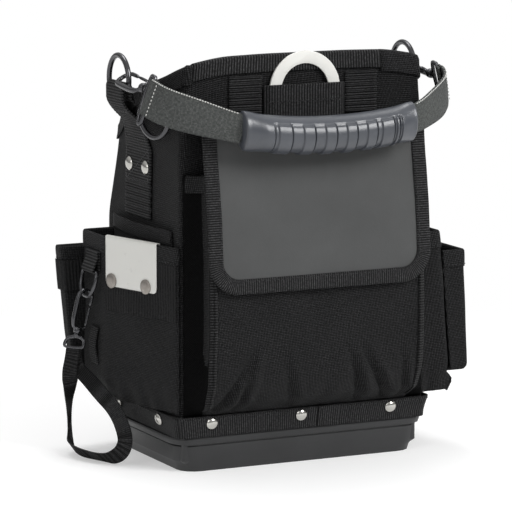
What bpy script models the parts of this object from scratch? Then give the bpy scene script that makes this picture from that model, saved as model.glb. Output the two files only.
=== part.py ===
"""Tool pouch: cloth body on a moulded base, with a bellows front pocket under a
flap, a carrying handle on swivel hooks, side pockets and a tape strap.

Metres. +Z is up, the flap faces -Y and +X is to the right seen from the front.
The origin is the centre of the base's underside.
"""

import math

import bmesh
import bpy
from mathutils import Vector

# Clearances and stock
GAP = 0.0003
OVERRUN = 0.004
CLOTH = 0.0022
WEBBING = 0.0018
TAPE_WEBBING = 0.0015
CORNER_STEPS = 4
ROUND_STEPS = 12

# Body across and deep: the other sizes follow it
BODY_W = 0.239
BODY_D = 0.157
HALF_W = BODY_W / 2
HALF_D = BODY_D / 2
WALL_FACE_Y = -HALF_D

# Moulded base: a tub with a rolled lip and an upstand inside the cloth
FOOT_W_STEP = 0.0130
FOOT_W = BODY_W - FOOT_W_STEP
FOOT_D_STEP = 0.0110
FOOT_D = BODY_D - FOOT_D_STEP
LIP_W_STEP = 0.0080
LIP_W = BODY_W + LIP_W_STEP
LIP_D_STEP = 0.0010
LIP_D = BODY_D + LIP_D_STEP
FOOT_CORNER_R = 0.016
LIP_CORNER_R = 0.019
BASE_H = 0.031
TUB_T = 0.0022
TUB_FLOOR_T = 0.0045
UPSTAND_H = 0.0165
UPSTAND_CORNER_R = 0.003
FLOOR_CHAMFER = 0.0055
BASE_PROFILE_SHARES = (
    (0.0, 0.0), (0.16, 0.14), (0.31, 0.48), (0.74, 0.62), (0.76, 0.50),
    (0.79, 0.50), (0.81, 0.88), (0.95, 1.0), (1.0, 0.95),
)
BOARD_T = 0.003

# Cloth body: four walls that stand on the lip
FRONT_EDGE_Z = 0.3535
FRONT_CROWN = 0.0070
REAR_BEND_Z = 0.211
LEAN_Z = 0.277
REAR_TOP_Z = 0.290
REAR_LEAN_IN = 0.0235
REAR_TOP_IN = 0.0285
FLARE_OUT = 0.0185
FLARE_REF_Z = 0.334
FLARE_SHARES = (
    (0.0, -0.31), (0.107, -0.15), (0.214, 0.05), (0.30, 0.22), (0.393, 0.47),
    (0.52, 0.85), (0.646, 1.0), (0.745, 0.9), (0.844, 0.62), (0.92, 0.3), (1.0, 0.0),
)
SIDE_TOP_SHARES = (
    (0.0, 1.0), (0.214, 0.82), (0.393, 0.69), (0.646, 0.432), (0.844, 0.197), (1.0, 0.0),
)
CROWN_SHARES = (
    (-1.0, 0.0), (-0.85, 0.5), (-0.7, 0.86), (-0.35, 1.0), (0.0, 1.0),
    (0.35, 1.0), (0.7, 0.86), (0.85, 0.5), (1.0, 0.0),
)

# Webbing band round the lower edge, and its rivets
BAND_H = 0.0187
BAND_FLARE_W = 0.0050
BAND_FLARE_D = 0.0028
BAND_CORNER_R = 0.005
BAND_INNER_R = 0.0006
BAND_PROFILE_SHARES = ((0.0, 0.0), (0.25, 0.08), (0.6, 0.45), (1.0, 1.0))
BAND_RIVET_R = 0.0055
BAND_RIVET_H = 0.0024
BAND_RIVET_Z = 0.0435
FRONT_RIVET_X = tuple(HALF_W * share for share in (-0.7582, -0.0335, 0.7063))
SIDE_RIVET_Y = tuple(HALF_D * share for share in (-0.5732, 0.5478))
REAR_RIVET_X = (HALF_W * -0.6695, HALF_W * 0.6695)

# Rim webbing, ribbed strips, keeper and hanging ring on the tall front wall
RIM_H = 0.013
STRIP_W = 0.031
STRIP_T = 0.0016
STRIP_RIBS = 13
STRIP_RIB_SHARES = ((0.95, 1.0), (0.55, 1.0), (0.45, 0.4), (0.05, 0.4))
STRIP_LOW_Z = 0.3085
STRIP_TOP_Z_STEP = 0.0090
STRIP_TOP_Z = FRONT_EDGE_Z - STRIP_TOP_Z_STEP
STRIP_X = (-0.0573, 0.0545)
KEEPER_X = -0.0014
KEEPER_W = 0.0784
KEEPER_LOW_Z = 0.3067
KEEPER_TOP_Z_STEP = 0.0180
KEEPER_TOP_Z = FRONT_EDGE_Z - KEEPER_TOP_Z_STEP
KEEPER_FLANGE = 0.0036
HANGER_R = 0.034
HANGER_HOLE_R = 0.023
HANGER_T = 0.0025
HANGER_Z_STEP = 0.0050
HANGER_Z = KEEPER_TOP_Z - HANGER_Z_STEP
HANGER_STEPS = 40

# Bellows pocket on the front: panel profile as shares of height and bulge
PANEL_W_STEP = 0.0350
PANEL_W = BODY_W - PANEL_W_STEP
PANEL_LOW_Z = 0.0506
PANEL_TOP_Z = 0.262
PANEL_BULGE = 0.0288
PANEL_SHARES = (
    (0.0, 0.0), (0.014, 0.0), (0.046, 0.60), (0.139, 0.90), (0.376, 1.0), (0.66, 0.965),
    (0.943, 0.69), (1.0, 0.63),
)
GUSSET_LOW_SHARE = 0.05
GUSSET_SPREAD = 0.0127
GUSSET_TOP_DROP = 0.001

# Flap: sewn root over the pocket's mouth, turning part and its bound edge
FLAP_W_STEP = 0.0250
FLAP_W = BODY_W - FLAP_W_STEP
FLAP_ROOT_Z = 0.3058
FLAP_FOLD_Z = 0.2751
FLAP_LOW_Z = 0.1605
FLAP_REACH = 0.0232
FLAP_HANG = 0.0128
FLAP_ROOT_SHARES = (
    (0.0, 0.0), (0.58, 0.02), (0.80, 0.12), (0.885, 0.32), (0.935, 0.64), (0.985, 1.0),
)
FLAP_HANG_SHARES = (
    (0.0, 0.0), (0.11, 0.20), (0.22, 0.35), (0.40, 0.60), (0.57, 0.74),
    (0.75, 0.87), (0.88, 0.955), (1.0, 1.0),
)
FLAP_T = 0.0016
FLAP_BINDING_W = 0.0155
FLAP_BINDING_T = 0.0006
FLAP_CORNER_R = 0.022
FLAP_NOTCH_SIDE = 0.0020
FLAP_NOTCH_DEEP = 0.0015
FLAP_FOLD_GAP = 0.0006

# D-rings in folded side tabs
RING_WIRE_R = 0.0024
RING_R = 0.0215
RING_BAR_DROP = 0.006
RING_CORNER_SHARE = 0.88
RING_X_STEP = 0.0205
RING_X = HALF_W + RING_X_STEP
RING_Y_STEP = 0.0805
RING_Y = WALL_FACE_Y + RING_Y_STEP
RING_Z_STEP = 0.0160
RING_Z = FRONT_EDGE_Z - RING_Z_STEP
RING_STEPS = 14
TAB_LOW_Z = 0.216
TAB_IN_LOW_Z = 0.285
TAB_LOW_Y_STEP = 0.0040
TAB_LOW_Y = RING_Y + TAB_LOW_Y_STEP
TAB_LOW_W = 0.054
TAB_TOP_W = 0.0345
TAB_COLUMNS = 6
TAB_FOLD_STEPS = 8
TAB_CLEAR = 0.0007
TAB_RIVET_R = 0.00625
TAB_RIVET_H = 0.0018
TAB_RIVET_Z = 0.261
TAB_RIVET_AHEAD = 0.0150
TAB_RIVET_BEHIND = 0.0195
TAB_RIVET_Y = (RING_Y - TAB_RIVET_AHEAD, RING_Y + TAB_RIVET_BEHIND)

# Swivel hooks: distances run from the ring's wire along the hook
HOOK_LIFT = 0.001
HOOK_DROP = math.radians(6)
HOOK_TILT = math.radians(30)
HOOK_BACK = 0.0145
HOOK_NOSE = 0.0065
HOOK_PIVOT = 0.0255
HOOK_BARREL = 0.0275
HOOK_BARREL_L = 0.0065
HOOK_BARREL_R = 0.0042
HOOK_HALF_W = 0.008
HOOK_WIRE_R = 0.0018
HOOK_SPINE_R = 0.0026
HOOK_STEPS = 10
GATE_R = 0.0013
GATE_GAP = 0.0009

# Swivel eyes that carry the strap
EYE_WIRE_R = 0.0017
EYE_HALF_H = 0.0215
EYE_DROP = 0.0085
EYE_REACH = 0.0105
EYE_POST_R = 0.0024
EYE_POST_L = 0.0030
EYE_LEAN = (0.30, -0.12, 0.946)
EYE_LOOP_SHARES = (
    (0.0, 0.0), (0.42, 0.08), (0.80, 0.22), (0.985, 0.50), (1.0, 0.80), (0.93, 1.0),
)

# Straps and grip
STRAP_H = 0.0365
# Steps of the strap from the front corner: outboard, ahead and up
STRAP_RUN = (
    (0.0210, -0.0055, 0.3180),
    (0.0150, -0.0175, 0.3130),
    (0.0025, -0.0290, 0.3080),
    (-0.0145, -0.0390, 0.3040),
    (-0.0270, -0.0440, 0.3028),
)
STRAP_HEIGHT_SHARES = (1.0, 1.0, 1.0, 0.97, 0.88, 0.76)
STRAP_LEAN_SHARES = (0.7, 0.4, 0.15, 0.0, 0.0, 0.0)
STRAP_LAP = 0.012
GRIP_HALF_L_STEP = 0.0375
GRIP_HALF_L = HALF_W - GRIP_HALF_L_STEP
GRIP_Y_STEP = 0.0455
GRIP_Y = WALL_FACE_Y - GRIP_Y_STEP
GRIP_END_Z = 0.3020
GRIP_SAG = 0.0065
GRIP_R = 0.0150
GRIP_RIB_H = 0.0011
GRIP_RIBS = 13
GRIP_RIB_LOW_STEP = 0.026
GRIP_RIB_LOW_X = GRIP_RIB_LOW_STEP - GRIP_HALF_L
GRIP_RIB_HIGH_X_STEP = 0.0120
GRIP_RIB_HIGH_X = GRIP_HALF_L - GRIP_RIB_HIGH_X_STEP
GRIP_END_SHARES = (
    (1.0, 0.90, 0.62), (0.97, 0.93, 0.68), (0.90, 0.90, 0.76), (0.86, 0.98, 0.97),
    (0.84, 1.0, 1.0),
)
GRIP_SIDES = 16

# Small tab and D-ring on the left wall
SIDE_RING_Y_STEP = 0.0325
SIDE_RING_Y = WALL_FACE_Y + SIDE_RING_Y_STEP
SIDE_RING_DROP = 0.0205
SIDE_RING_Z = RING_Z - SIDE_RING_DROP
SIDE_RING_R = 0.0215
SIDE_RING_REACH = 0.0260
SIDE_TAB_W = 0.0330
SIDE_TAB_RISE = 0.017
SIDE_TAB_TOP_Z = SIDE_RING_Z + SIDE_TAB_RISE

# Side pockets: outboard distance from the centre plane, place along Y, height
POCKET_LOW_Z = 0.0525
POCKET_FLOOR_T = 0.0022
LEFT_POCKET_TOP_Z = 0.1990
LEFT_POCKET_START = 0.0021
LEFT_POCKET_OUT_STEP = 0.0305
LEFT_POCKET_OUT = HALF_W + LEFT_POCKET_OUT_STEP
LEFT_POCKET_BEND_Y_STEP = 0.0655
LEFT_POCKET_BEND_Y = HALF_D - LEFT_POCKET_BEND_Y_STEP
LEFT_POCKET_REAR_Y_STEP = 0.0145
LEFT_POCKET_REAR_Y = HALF_D - LEFT_POCKET_REAR_Y_STEP
LEFT_POCKET_TUCK = 0.006
REAR_POCKET_TOP_Z = 0.184
REAR_POCKET_OUT_STEP = 0.0505
REAR_POCKET_OUT = HALF_W + REAR_POCKET_OUT_STEP
REAR_POCKET_SHARES = ((0.0, 0.38), (0.08, 0.70), (0.38, 0.85), (0.70, 0.93), (1.0, 1.0))
UPPER_POCKET_LOW_Z = 0.062
UPPER_POCKET_TOP_Z = 0.212
UPPER_POCKET_FRONT_Y_STEP = 0.0125
UPPER_POCKET_FRONT_Y = WALL_FACE_Y + UPPER_POCKET_FRONT_Y_STEP
UPPER_POCKET_REAR_Y_STEP = 0.0205
UPPER_POCKET_REAR_Y = HALF_D - UPPER_POCKET_REAR_Y_STEP
UPPER_POCKET_BOW = 0.0062
UPPER_POCKET_LOW_BOW_SHARE = 0.25
UPPER_POCKET_T = 0.0016
UPPER_POCKET_COLUMNS = 8
UPPER_POCKET_ROWS = 4
RIGHT_POCKET_TOP_Z = 0.198
RIGHT_POCKET_TOP_OUT_STEP = 0.0165
RIGHT_POCKET_TOP_OUT = HALF_W + RIGHT_POCKET_TOP_OUT_STEP
RIGHT_POCKET_LOW_OUT_STEP = 0.0295
RIGHT_POCKET_LOW_OUT = HALF_W + RIGHT_POCKET_LOW_OUT_STEP
RIGHT_POCKET_BEND_Y_STEP = 0.0265
RIGHT_POCKET_BEND_Y = HALF_D - RIGHT_POCKET_BEND_Y_STEP
RIGHT_POCKET_REAR_Y_STEP = 0.0130
RIGHT_POCKET_REAR_Y = HALF_D - RIGHT_POCKET_REAR_Y_STEP
OUTER_POCKET_LOW_Z = 0.062
OUTER_POCKET_TOP_Z = 0.1795
OUTER_POCKET_TOP_OUT_STEP = 0.0415
OUTER_POCKET_TOP_OUT = HALF_W + OUTER_POCKET_TOP_OUT_STEP
OUTER_POCKET_LOW_OUT_STEP = 0.0475
OUTER_POCKET_LOW_OUT = HALF_W + OUTER_POCKET_LOW_OUT_STEP
OUTER_POCKET_REAR_Y_STEP = 0.0525
OUTER_POCKET_REAR_Y = WALL_FACE_Y + OUTER_POCKET_REAR_Y_STEP
OUTER_POCKET_FRONT_Y_STEP = 0.0005
OUTER_POCKET_FRONT_Y = WALL_FACE_Y + OUTER_POCKET_FRONT_Y_STEP

# Metal clip plate folded over the left pocket's hem
PLATE_T = 0.0012
PLATE_FRONT_Y_STEP = 0.0233
PLATE_FRONT_Y = WALL_FACE_Y + PLATE_FRONT_Y_STEP
TAPE_Y_STEP = 0.044
TAPE_Y = HALF_D - TAPE_Y_STEP
PLATE_TAPE_STEP = 0.025
PLATE_REAR_Y = TAPE_Y - PLATE_TAPE_STEP
PLATE_LOW_Z = 0.156
PLATE_IN_LOW_Z = 0.186
PLATE_CORNER_R = 0.0045
PLATE_RIVET_R = 0.0065
PLATE_RIVET_H = 0.0022
PLATE_RIVET_Z = 0.161
PLATE_RIVET_IN = 0.0132
PLATE_RIVET_REAR_IN = 0.008
PLATE_RIVET_Y = (PLATE_FRONT_Y + PLATE_RIVET_IN, PLATE_REAR_Y - PLATE_RIVET_REAR_IN)

# Tape strap hardware on the left pocket
TAPE_TAB_W = 0.0256
TAPE_TAB_TOP_Z = 0.184
TAPE_RING_Z = 0.1675
TAPE_RING_WIRE_R = 0.0017
TAPE_RING_W = 0.030
TAPE_RING_REACH = 0.0250
TAPE_RING_TILT = math.radians(12)
TAPE_RING_SHARES = (
    (1.0, 0.0), (1.06, 0.30), (1.0, 0.62), (0.78, 0.84), (0.42, 0.97), (0.0, 1.0),
)
TAPE_HOOK_SHARE = 0.80
TAPE_HOOK_TILT = math.radians(15)
TAPE_HOOK_BACK = 0.0055
TAPE_HOOK_NOSE = 0.0085
TAPE_HOOK_PIVOT = 0.0270
TAPE_HOOK_BARREL = 0.0285
TAPE_EYE_HALF_W = 0.0098
TAPE_EYE_REACH = 0.0105
TAPE_EYE_LEAN = (0.62, -0.785, 0.0)
TAPE_W = 0.014
TAPE_T = 0.0016
# Steps of the tape from the left wall at its hardware, and the direction across it
TAPE_RUN = (
    ((-0.0550, 0.0000, 0.0800), (0.62, -0.785, 0.0)),
    ((-0.0540, 0.0035, 0.0710), (0.906, -0.42, 0.0)),
    ((-0.0530, 0.0055, 0.0630), (0.97, 0.25, 0.0)),
    ((-0.0515, 0.0110, 0.0460), (0.67, 0.74, 0.0)),
    ((-0.0495, 0.0160, 0.0280), (0.53, 0.85, 0.0)),
    ((-0.0490, 0.0165, 0.0160), (0.55, 0.70, -0.45)),
    ((-0.0500, 0.0120, 0.0090), (0.58, 0.30, -0.75)),
    ((-0.0515, 0.0020, 0.0068), (0.62, 0.0, -0.78)),
    ((-0.0520, -0.0126, 0.0062), (0.70, 0.0, -0.71)),
    ((-0.0490, -0.0250, 0.0058), (0.76, 0.10, -0.64)),
    ((-0.0430, -0.0400, 0.0055), (0.72, 0.30, -0.62)),
    ((-0.0375, -0.0515, 0.0068), (0.66, 0.10, -0.74)),
    ((-0.0325, -0.0610, 0.0140), (0.62, -0.40, -0.68)),
    ((-0.0305, -0.0640, 0.0250), (0.60, -0.78, -0.20)),
    ((-0.0310, -0.0560, 0.0385), (0.60, -0.62, 0.50)),
    ((-0.0330, -0.0430, 0.0500), (0.62, -0.60, 0.50)),
    ((-0.0370, -0.0260, 0.0595), (0.62, -0.68, 0.40)),
    ((-0.0415, -0.0110, 0.0695), (0.62, -0.75, 0.25)),
    ((-0.0485, -0.0010, 0.0800), (0.62, -0.785, 0.05)),
)

# Left and right, hook sizes and the steps of curved edges
MITRE_SHARE = 0.35
DOME_SHARES = ((0.94, 0.0), (1.0, 0.22), (0.90, 0.60), (0.62, 0.88), (0.25, 1.0))
ROUND_EDGE = math.radians(40)
BAND_RIVET_SEAT = 0.0002
SIDES = ((-1, "left"), (1, "right"))
WALL_TOP_STEPS = 3
FLAP_CORNER_STEPS = 5
SMALL_TAB_COLUMNS = 3
SIDE_TAB_CLEAR = 0.0012
SIDE_RING_PLAY = 0.0008
TAPE_LAP = 0.008
HOOK_SIZES = (HOOK_BACK, HOOK_NOSE, HOOK_PIVOT, HOOK_BARREL, 1.0)
TAPE_SIZES = (TAPE_HOOK_BACK, TAPE_HOOK_NOSE, TAPE_HOOK_PIVOT, TAPE_HOOK_BARREL, TAPE_HOOK_SHARE)

# Values that follow from the sizes above
FOOT_Z = BASE_H + GAP
INNER_HALF_W = HALF_W - CLOTH - GAP
SIDE_SEAT = HALF_W + GAP


def clear_scene():
    """Empty the scene."""
    for item in list(bpy.data.objects):
        bpy.data.objects.remove(item, do_unlink=True)


def finish(name, color, roughness, metallic=0.0):
    """One plain material."""
    made = bpy.data.materials.new(name)
    made.use_nodes = True
    for node in made.node_tree.nodes:
        if node.type == "BSDF_PRINCIPLED":
            node.inputs["Base Color"].default_value = (*color, 1.0)
            node.inputs["Roughness"].default_value = roughness
            node.inputs["Metallic"].default_value = metallic
    made.diffuse_color = (*color, 1.0)
    return made


def at(table, x):
    """Value at x on a line through (x, value) pairs, level past its end."""
    for (x0, v0), (x1, v1) in zip(table, table[1:]):
        if x <= x1:
            return v0 + (v1 - v0) * (max(x, x0) - x0) / (x1 - x0)
    return table[-1][1]


def blend(a, b, share):
    """Point or number part of the way from a to b."""
    return a + (b - a) * share


def add_solid(name, points, faces, look, origin=None, smooth=None):
    """Closed mesh object with its faces pointing out, and its origin on its axis."""
    base = Vector(origin) if origin else Vector((0, 0, 0))
    mesh = bpy.data.meshes.new(name)
    mesh.from_pydata([Vector(p) - base for p in points], [], faces)
    work = bmesh.new()
    work.from_mesh(mesh)
    bmesh.ops.recalc_face_normals(work, faces=work.faces)
    if work.calc_volume(signed=True) < 0:
        bmesh.ops.reverse_faces(work, faces=work.faces)
    work.to_mesh(mesh)
    work.free()
    mesh.materials.append(look)
    if smooth:
        mesh.shade_smooth()
        mesh.set_sharp_from_angle(angle=smooth)
    made = bpy.data.objects.new(name, mesh)
    made.location = base
    bpy.context.collection.objects.link(made)
    return made


def loft(name, rings, look, around=False, origin=None, smooth=ROUND_EDGE):
    """Skin through closed rings, with flat ends unless the last meets the first."""
    count = len(rings[0])
    points = [p for ring in rings for p in ring]
    faces = []
    for i in range(len(rings) if around else len(rings) - 1):
        a = i * count
        b = (i + 1) % len(rings) * count
        for j in range(count):
            k = (j + 1) % count
            faces.append((a + j, a + k, b + k, b + j))
    if not around:
        faces.append(tuple(range(count)))
        faces.append(tuple(range(len(points) - count, len(points))))
    return add_solid(name, points, faces, look, origin, smooth)


def sheet(name, outer, inner, look, around=False, origin=None):
    """Cloth of two matching grids of points, closed along its edges."""
    rows = len(outer)
    columns = len(outer[0])
    points = [p for grid in (outer, inner) for row in grid for p in row]

    def spot(face, i, j):
        return (face * rows + i % rows) * columns + j

    faces = []
    for i in range(rows if around else rows - 1):
        for j in range(columns - 1):
            for face in (0, 1):
                faces.append((
                    spot(face, i, j), spot(face, i, j + 1),
                    spot(face, i + 1, j + 1), spot(face, i + 1, j),
                ))
        for j in (0, columns - 1):
            faces.append((spot(0, i, j), spot(0, i + 1, j), spot(1, i + 1, j), spot(1, i, j)))
    if not around:
        for i in (0, rows - 1):
            for j in range(columns - 1):
                faces.append((spot(0, i, j), spot(0, i, j + 1), spot(1, i, j + 1), spot(1, i, j)))
    return add_solid(name, points, faces, look, origin, ROUND_EDGE)


def offset_line(path, distance):
    """Line beside a flat path, on its left where the distance is positive."""
    made = []
    for i, here in enumerate(path):
        before = path[max(i - 1, 0)]
        after = path[min(i + 1, len(path) - 1)]
        arrive = (here - before).normalized() if i else (after - here).normalized()
        leave = (after - here).normalized() if i < len(path) - 1 else arrive
        across = Vector((-arrive.y - leave.y, arrive.x + leave.x)).normalized()
        fall = max(across.dot(Vector((-arrive.y, arrive.x))), MITRE_SHARE)
        made.append(here + across * distance / fall)
    return made


def folded(name, path, left, right, low, high, place, look, origin=None):
    """Bent sheet: a flat path with cloth to its left and right, drawn out sideways."""
    sides = [offset_line([Vector(p) for p in path], d) for d in (left, -right)]
    grids = [[[place(p.x, p.y, w) for p in side] for w in (low, high)] for side in sides]
    return sheet(name, grids[0], grids[1], look, origin=origin)


def side_on(u, v, w):
    """Place of a profile drawn in Y and Z, at X."""
    return Vector((w, u, v))


def box_ring(half_w, half_d, radius, z):
    """Rounded rectangle in a level plane."""
    made = []
    for quarter, (sx, sy) in enumerate(((1, 1), (-1, 1), (-1, -1), (1, -1))):
        for step in range(CORNER_STEPS + 1):
            turn = (quarter + step / CORNER_STEPS) * math.pi / 2
            made.append(Vector((
                sx * (half_w - radius) + radius * math.cos(turn),
                sy * (half_d - radius) + radius * math.sin(turn),
                z,
            )))
    return made


def tube_rings(points, radii, normal, around=False, sides=8):
    """Round rings along a line that lies in the plane of the given normal."""
    rings = []
    last = len(points) - 1
    for i, here in enumerate(points):
        before = points[i - 1] if i or around else here
        after = points[(i + 1) % len(points)] if i < last or around else here
        ahead = (after - before).normalized()
        across = ahead.cross(normal).normalized()
        rings.append([
            here + (across * math.cos(turn) + normal * math.sin(turn)) * radii[i]
            for turn in (2 * math.pi * k / sides for k in range(sides))
        ])
    return rings


def turned(name, profile, centre, axis, look, sides=ROUND_STEPS, origin=None):
    """Turned solid from (radius, height along the axis) pairs."""
    ahead = Vector(axis).normalized()
    across = ahead.orthogonal().normalized()
    rings = tube_rings(
        [Vector(centre) + ahead * height for radius, height in profile],
        [radius for radius, height in profile], across, sides=sides,
    )
    return loft(name, rings, look, origin=origin)


def dome(name, radius, height, centre, axis, look):
    """Domed rivet head that sits on a face."""
    profile = [(radius * r, height * h) for r, h in DOME_SHARES]
    return turned(name, profile, centre, axis, look)


def combine(target, tool, operation):
    """Boolean of two solids; the tool stays as a guide that isn't rendered."""
    tool.hide_render = True
    tool.display_type = "WIRE"
    step = target.modifiers.new(operation.title(), "BOOLEAN")
    step.operation = operation
    step.solver = "EXACT"
    step.object = tool
    return target


def rear_y(z):
    """Outer face of the rear wall at a height."""
    lean = ((REAR_BEND_Z, 0.0), (LEAN_Z, REAR_LEAN_IN), (REAR_TOP_Z, REAR_TOP_IN))
    return HALF_D - at(lean, z)


def wall_x(y, z):
    """Outboard distance of a side wall's outer face."""
    span = (y - WALL_FACE_Y) / (rear_y(z) - WALL_FACE_Y)
    rise = max(z - LEAN_Z, 0.0) / (FLARE_REF_Z - LEAN_Z)
    return HALF_W + FLARE_OUT * rise * at(FLARE_SHARES, span)


def side_top(y):
    """Height of a side wall's top edge."""
    span = (y - WALL_FACE_Y) / (rear_y(REAR_TOP_Z) - WALL_FACE_Y)
    return blend(REAR_TOP_Z, FRONT_EDGE_Z, at(SIDE_TOP_SHARES, span))


def make_base(look, board_look):
    """Tub with its lip and upstand, and the board on its floor."""
    rings = []
    for height, spread in BASE_PROFILE_SHARES:
        rings.append(box_ring(
            blend(FOOT_W, LIP_W, spread) / 2, blend(FOOT_D, LIP_D, spread) / 2,
            blend(FOOT_CORNER_R, LIP_CORNER_R, spread), BASE_H * height,
        ))
    out_w = INNER_HALF_W
    out_d = HALF_D - CLOTH - GAP
    in_w = out_w - TUB_T
    in_d = out_d - TUB_T
    top = BASE_H + UPSTAND_H
    rings.append(box_ring(out_w, out_d, UPSTAND_CORNER_R, BASE_H))
    rings.append(box_ring(out_w, out_d, UPSTAND_CORNER_R, top))
    rings.append(box_ring(in_w, in_d, UPSTAND_CORNER_R, top))
    rings.append(box_ring(in_w, in_d, UPSTAND_CORNER_R, TUB_FLOOR_T + FLOOR_CHAMFER))
    floor_w = in_w - FLOOR_CHAMFER
    floor_d = in_d - FLOOR_CHAMFER
    rings.append(box_ring(floor_w, floor_d, UPSTAND_CORNER_R, TUB_FLOOR_T))
    loft("base_tub", rings, look)
    low = TUB_FLOOR_T + GAP
    board = [
        box_ring(floor_w - GAP, floor_d - GAP, UPSTAND_CORNER_R, z) for z in (low, low + BOARD_T)
    ]
    loft("bottom_board", board, board_look)


def band_out(height_share):
    """How far the band has flared at a share of its height, as a share of its flare."""
    return at(BAND_PROFILE_SHARES, height_share)


def make_band(look):
    """Webbing band over the walls' feet, flaring towards its top."""
    grids = []
    for inset, radius in ((0.0, BAND_CORNER_R), (CLOTH, BAND_INNER_R)):
        rows = []
        for height, flare in BAND_PROFILE_SHARES:
            rows.append(box_ring(
                SIDE_SEAT + CLOTH - inset + BAND_FLARE_W * flare,
                HALF_D + GAP + CLOTH - inset + BAND_FLARE_D * flare,
                radius, FOOT_Z + BAND_H * height,
            ))
        grids.append([list(column) for column in zip(*rows)])
    sheet("band", grids[0], grids[1], look, around=True)


def make_band_rivets(look):
    """Domed rivets that hold band, walls and upstand together."""
    share = (BAND_RIVET_Z - FOOT_Z) / BAND_H
    out_x = SIDE_SEAT + CLOTH + GAP + BAND_FLARE_W * band_out(share)
    out_y = HALF_D + GAP + CLOTH + GAP + BAND_FLARE_D * band_out(share)
    tilt_x = BAND_FLARE_W / BAND_H
    tilt_y = BAND_FLARE_D / BAND_H
    seat = BAND_RIVET_SEAT
    for i, x in enumerate(FRONT_RIVET_X):
        place = (x, -out_y - seat, BAND_RIVET_Z)
        dome(f"band_rivet_front_{i + 1}", BAND_RIVET_R, BAND_RIVET_H, place, (0, -1, -tilt_y), look)
    for i, x in enumerate(REAR_RIVET_X):
        place = (x, out_y + seat, BAND_RIVET_Z)
        dome(f"band_rivet_rear_{i + 1}", BAND_RIVET_R, BAND_RIVET_H, place, (0, 1, -tilt_y), look)
    for side, word in SIDES:
        for i, y in enumerate(SIDE_RIVET_Y):
            place = (side * (out_x + seat), y, BAND_RIVET_Z)
            name = f"band_rivet_{word}_{i + 1}"
            dome(name, BAND_RIVET_R, BAND_RIVET_H, place, (side, 0, -tilt_x), look)


def make_walls(look):
    """Four cloth walls; the side walls flare outward and slope down to the rear."""
    wide = INNER_HALF_W
    narrow = wall_x(WALL_FACE_Y, FRONT_EDGE_Z) - CLOTH - GAP
    outline = [(-wide, FOOT_Z), (wide, FOOT_Z), (wide, LEAN_Z)]
    outline += [(narrow * x, FRONT_EDGE_Z + FRONT_CROWN * z) for x, z in reversed(CROWN_SHARES)]
    outline += [(-wide, LEAN_Z)]
    faces = (WALL_FACE_Y, WALL_FACE_Y + CLOTH)
    loft("front_wall", [[Vector((x, y, z)) for x, z in outline] for y in faces], look)
    profile = [(rear_y(z), z) for z in (FOOT_Z, REAR_BEND_Z, LEAN_Z, REAR_TOP_Z)]
    folded("rear_wall", profile, CLOTH, 0.0, -INNER_HALF_W, INNER_HALF_W, side_on, look)
    for side, word in SIDES:
        grids = ([], [])
        for span, unused in FLARE_SHARES:
            top = side_top(blend(WALL_FACE_Y, rear_y(REAR_TOP_Z), span))
            heights = [FOOT_Z, blend(FOOT_Z, REAR_BEND_Z, 0.5), REAR_BEND_Z]
            heights += [blend(LEAN_Z, top, step / WALL_TOP_STEPS) for step in range(WALL_TOP_STEPS + 1)]
            for grid, inset in zip(grids, (0.0, CLOTH)):
                row = []
                for z in heights:
                    y = blend(WALL_FACE_Y, rear_y(z), span)
                    row.append(Vector((side * (wall_x(y, z) - inset), y, z)))
                grid.append(row)
        sheet(f"{word}_wall", grids[0], grids[1], look)


def make_rim(look):
    """Webbing folded over the tall front wall's top edge."""
    half = wall_x(WALL_FACE_Y, FRONT_EDGE_Z) - CLOTH - GAP
    front = WALL_FACE_Y - GAP
    rear = WALL_FACE_Y + CLOTH + GAP
    outer = []
    inner = []
    for x_share, crown in CROWN_SHARES:
        x = half * x_share
        top = FRONT_EDGE_Z + FRONT_CROWN * crown
        over = top + GAP
        low = top + GAP + WEBBING - RIM_H
        outer.append([
            Vector((x, y, z)) for y, z in (
                (front - WEBBING, low), (front - WEBBING, over + WEBBING),
                (rear + WEBBING, over + WEBBING), (rear + WEBBING, low),
            )
        ])
        inner.append([Vector((x, y, z)) for y, z in ((front, low), (front, over), (rear, over), (rear, low))])
    sheet("rim_front", outer, inner, look)


def make_strips(look):
    """Ribbed webbing strips on the tall front wall."""
    back = WALL_FACE_Y - GAP
    pitch = (STRIP_TOP_Z - STRIP_LOW_Z) / STRIP_RIBS
    outline = [(back, STRIP_LOW_Z), (back, STRIP_TOP_Z)]
    for rib in reversed(range(STRIP_RIBS)):
        for share, depth in STRIP_RIB_SHARES:
            outline.append((back - STRIP_T * depth, STRIP_LOW_Z + pitch * (rib + share)))
    for x_centre, (side, word) in zip(STRIP_X, SIDES):
        ends = (x_centre - STRIP_W / 2, x_centre + STRIP_W / 2)
        rings = [[Vector((x, y, z)) for y, z in outline] for x in ends]
        loft(f"strip_{word}", rings, look)


def make_hanger(look, keeper_look):
    """Flat hanging ring, free to slide up behind its webbing keeper."""
    back = WALL_FACE_Y - GAP - WEBBING - GAP
    rings = []
    for radius, y in (
        (HANGER_R, back), (HANGER_R, back - HANGER_T),
        (HANGER_HOLE_R, back - HANGER_T), (HANGER_HOLE_R, back),
    ):
        turns = [2 * math.pi * k / HANGER_STEPS for k in range(HANGER_STEPS)]
        rings.append([
            Vector((KEEPER_X + radius * math.cos(t), y, HANGER_Z + radius * math.sin(t)))
            for t in turns
        ])
    loft("hanging_ring", rings, look, around=True)
    seat = WALL_FACE_Y - GAP
    front = back - HANGER_T - GAP
    half = KEEPER_W / 2
    step = half - KEEPER_FLANGE
    path = [
        (-half, seat), (-step, seat), (-step, front), (step, front), (step, seat), (half, seat),
    ]
    path = [(KEEPER_X + x, y) for x, y in path]
    folded("keeper", path, 0.0, WEBBING, KEEPER_LOW_Z, KEEPER_TOP_Z, plan, keeper_look)


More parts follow.
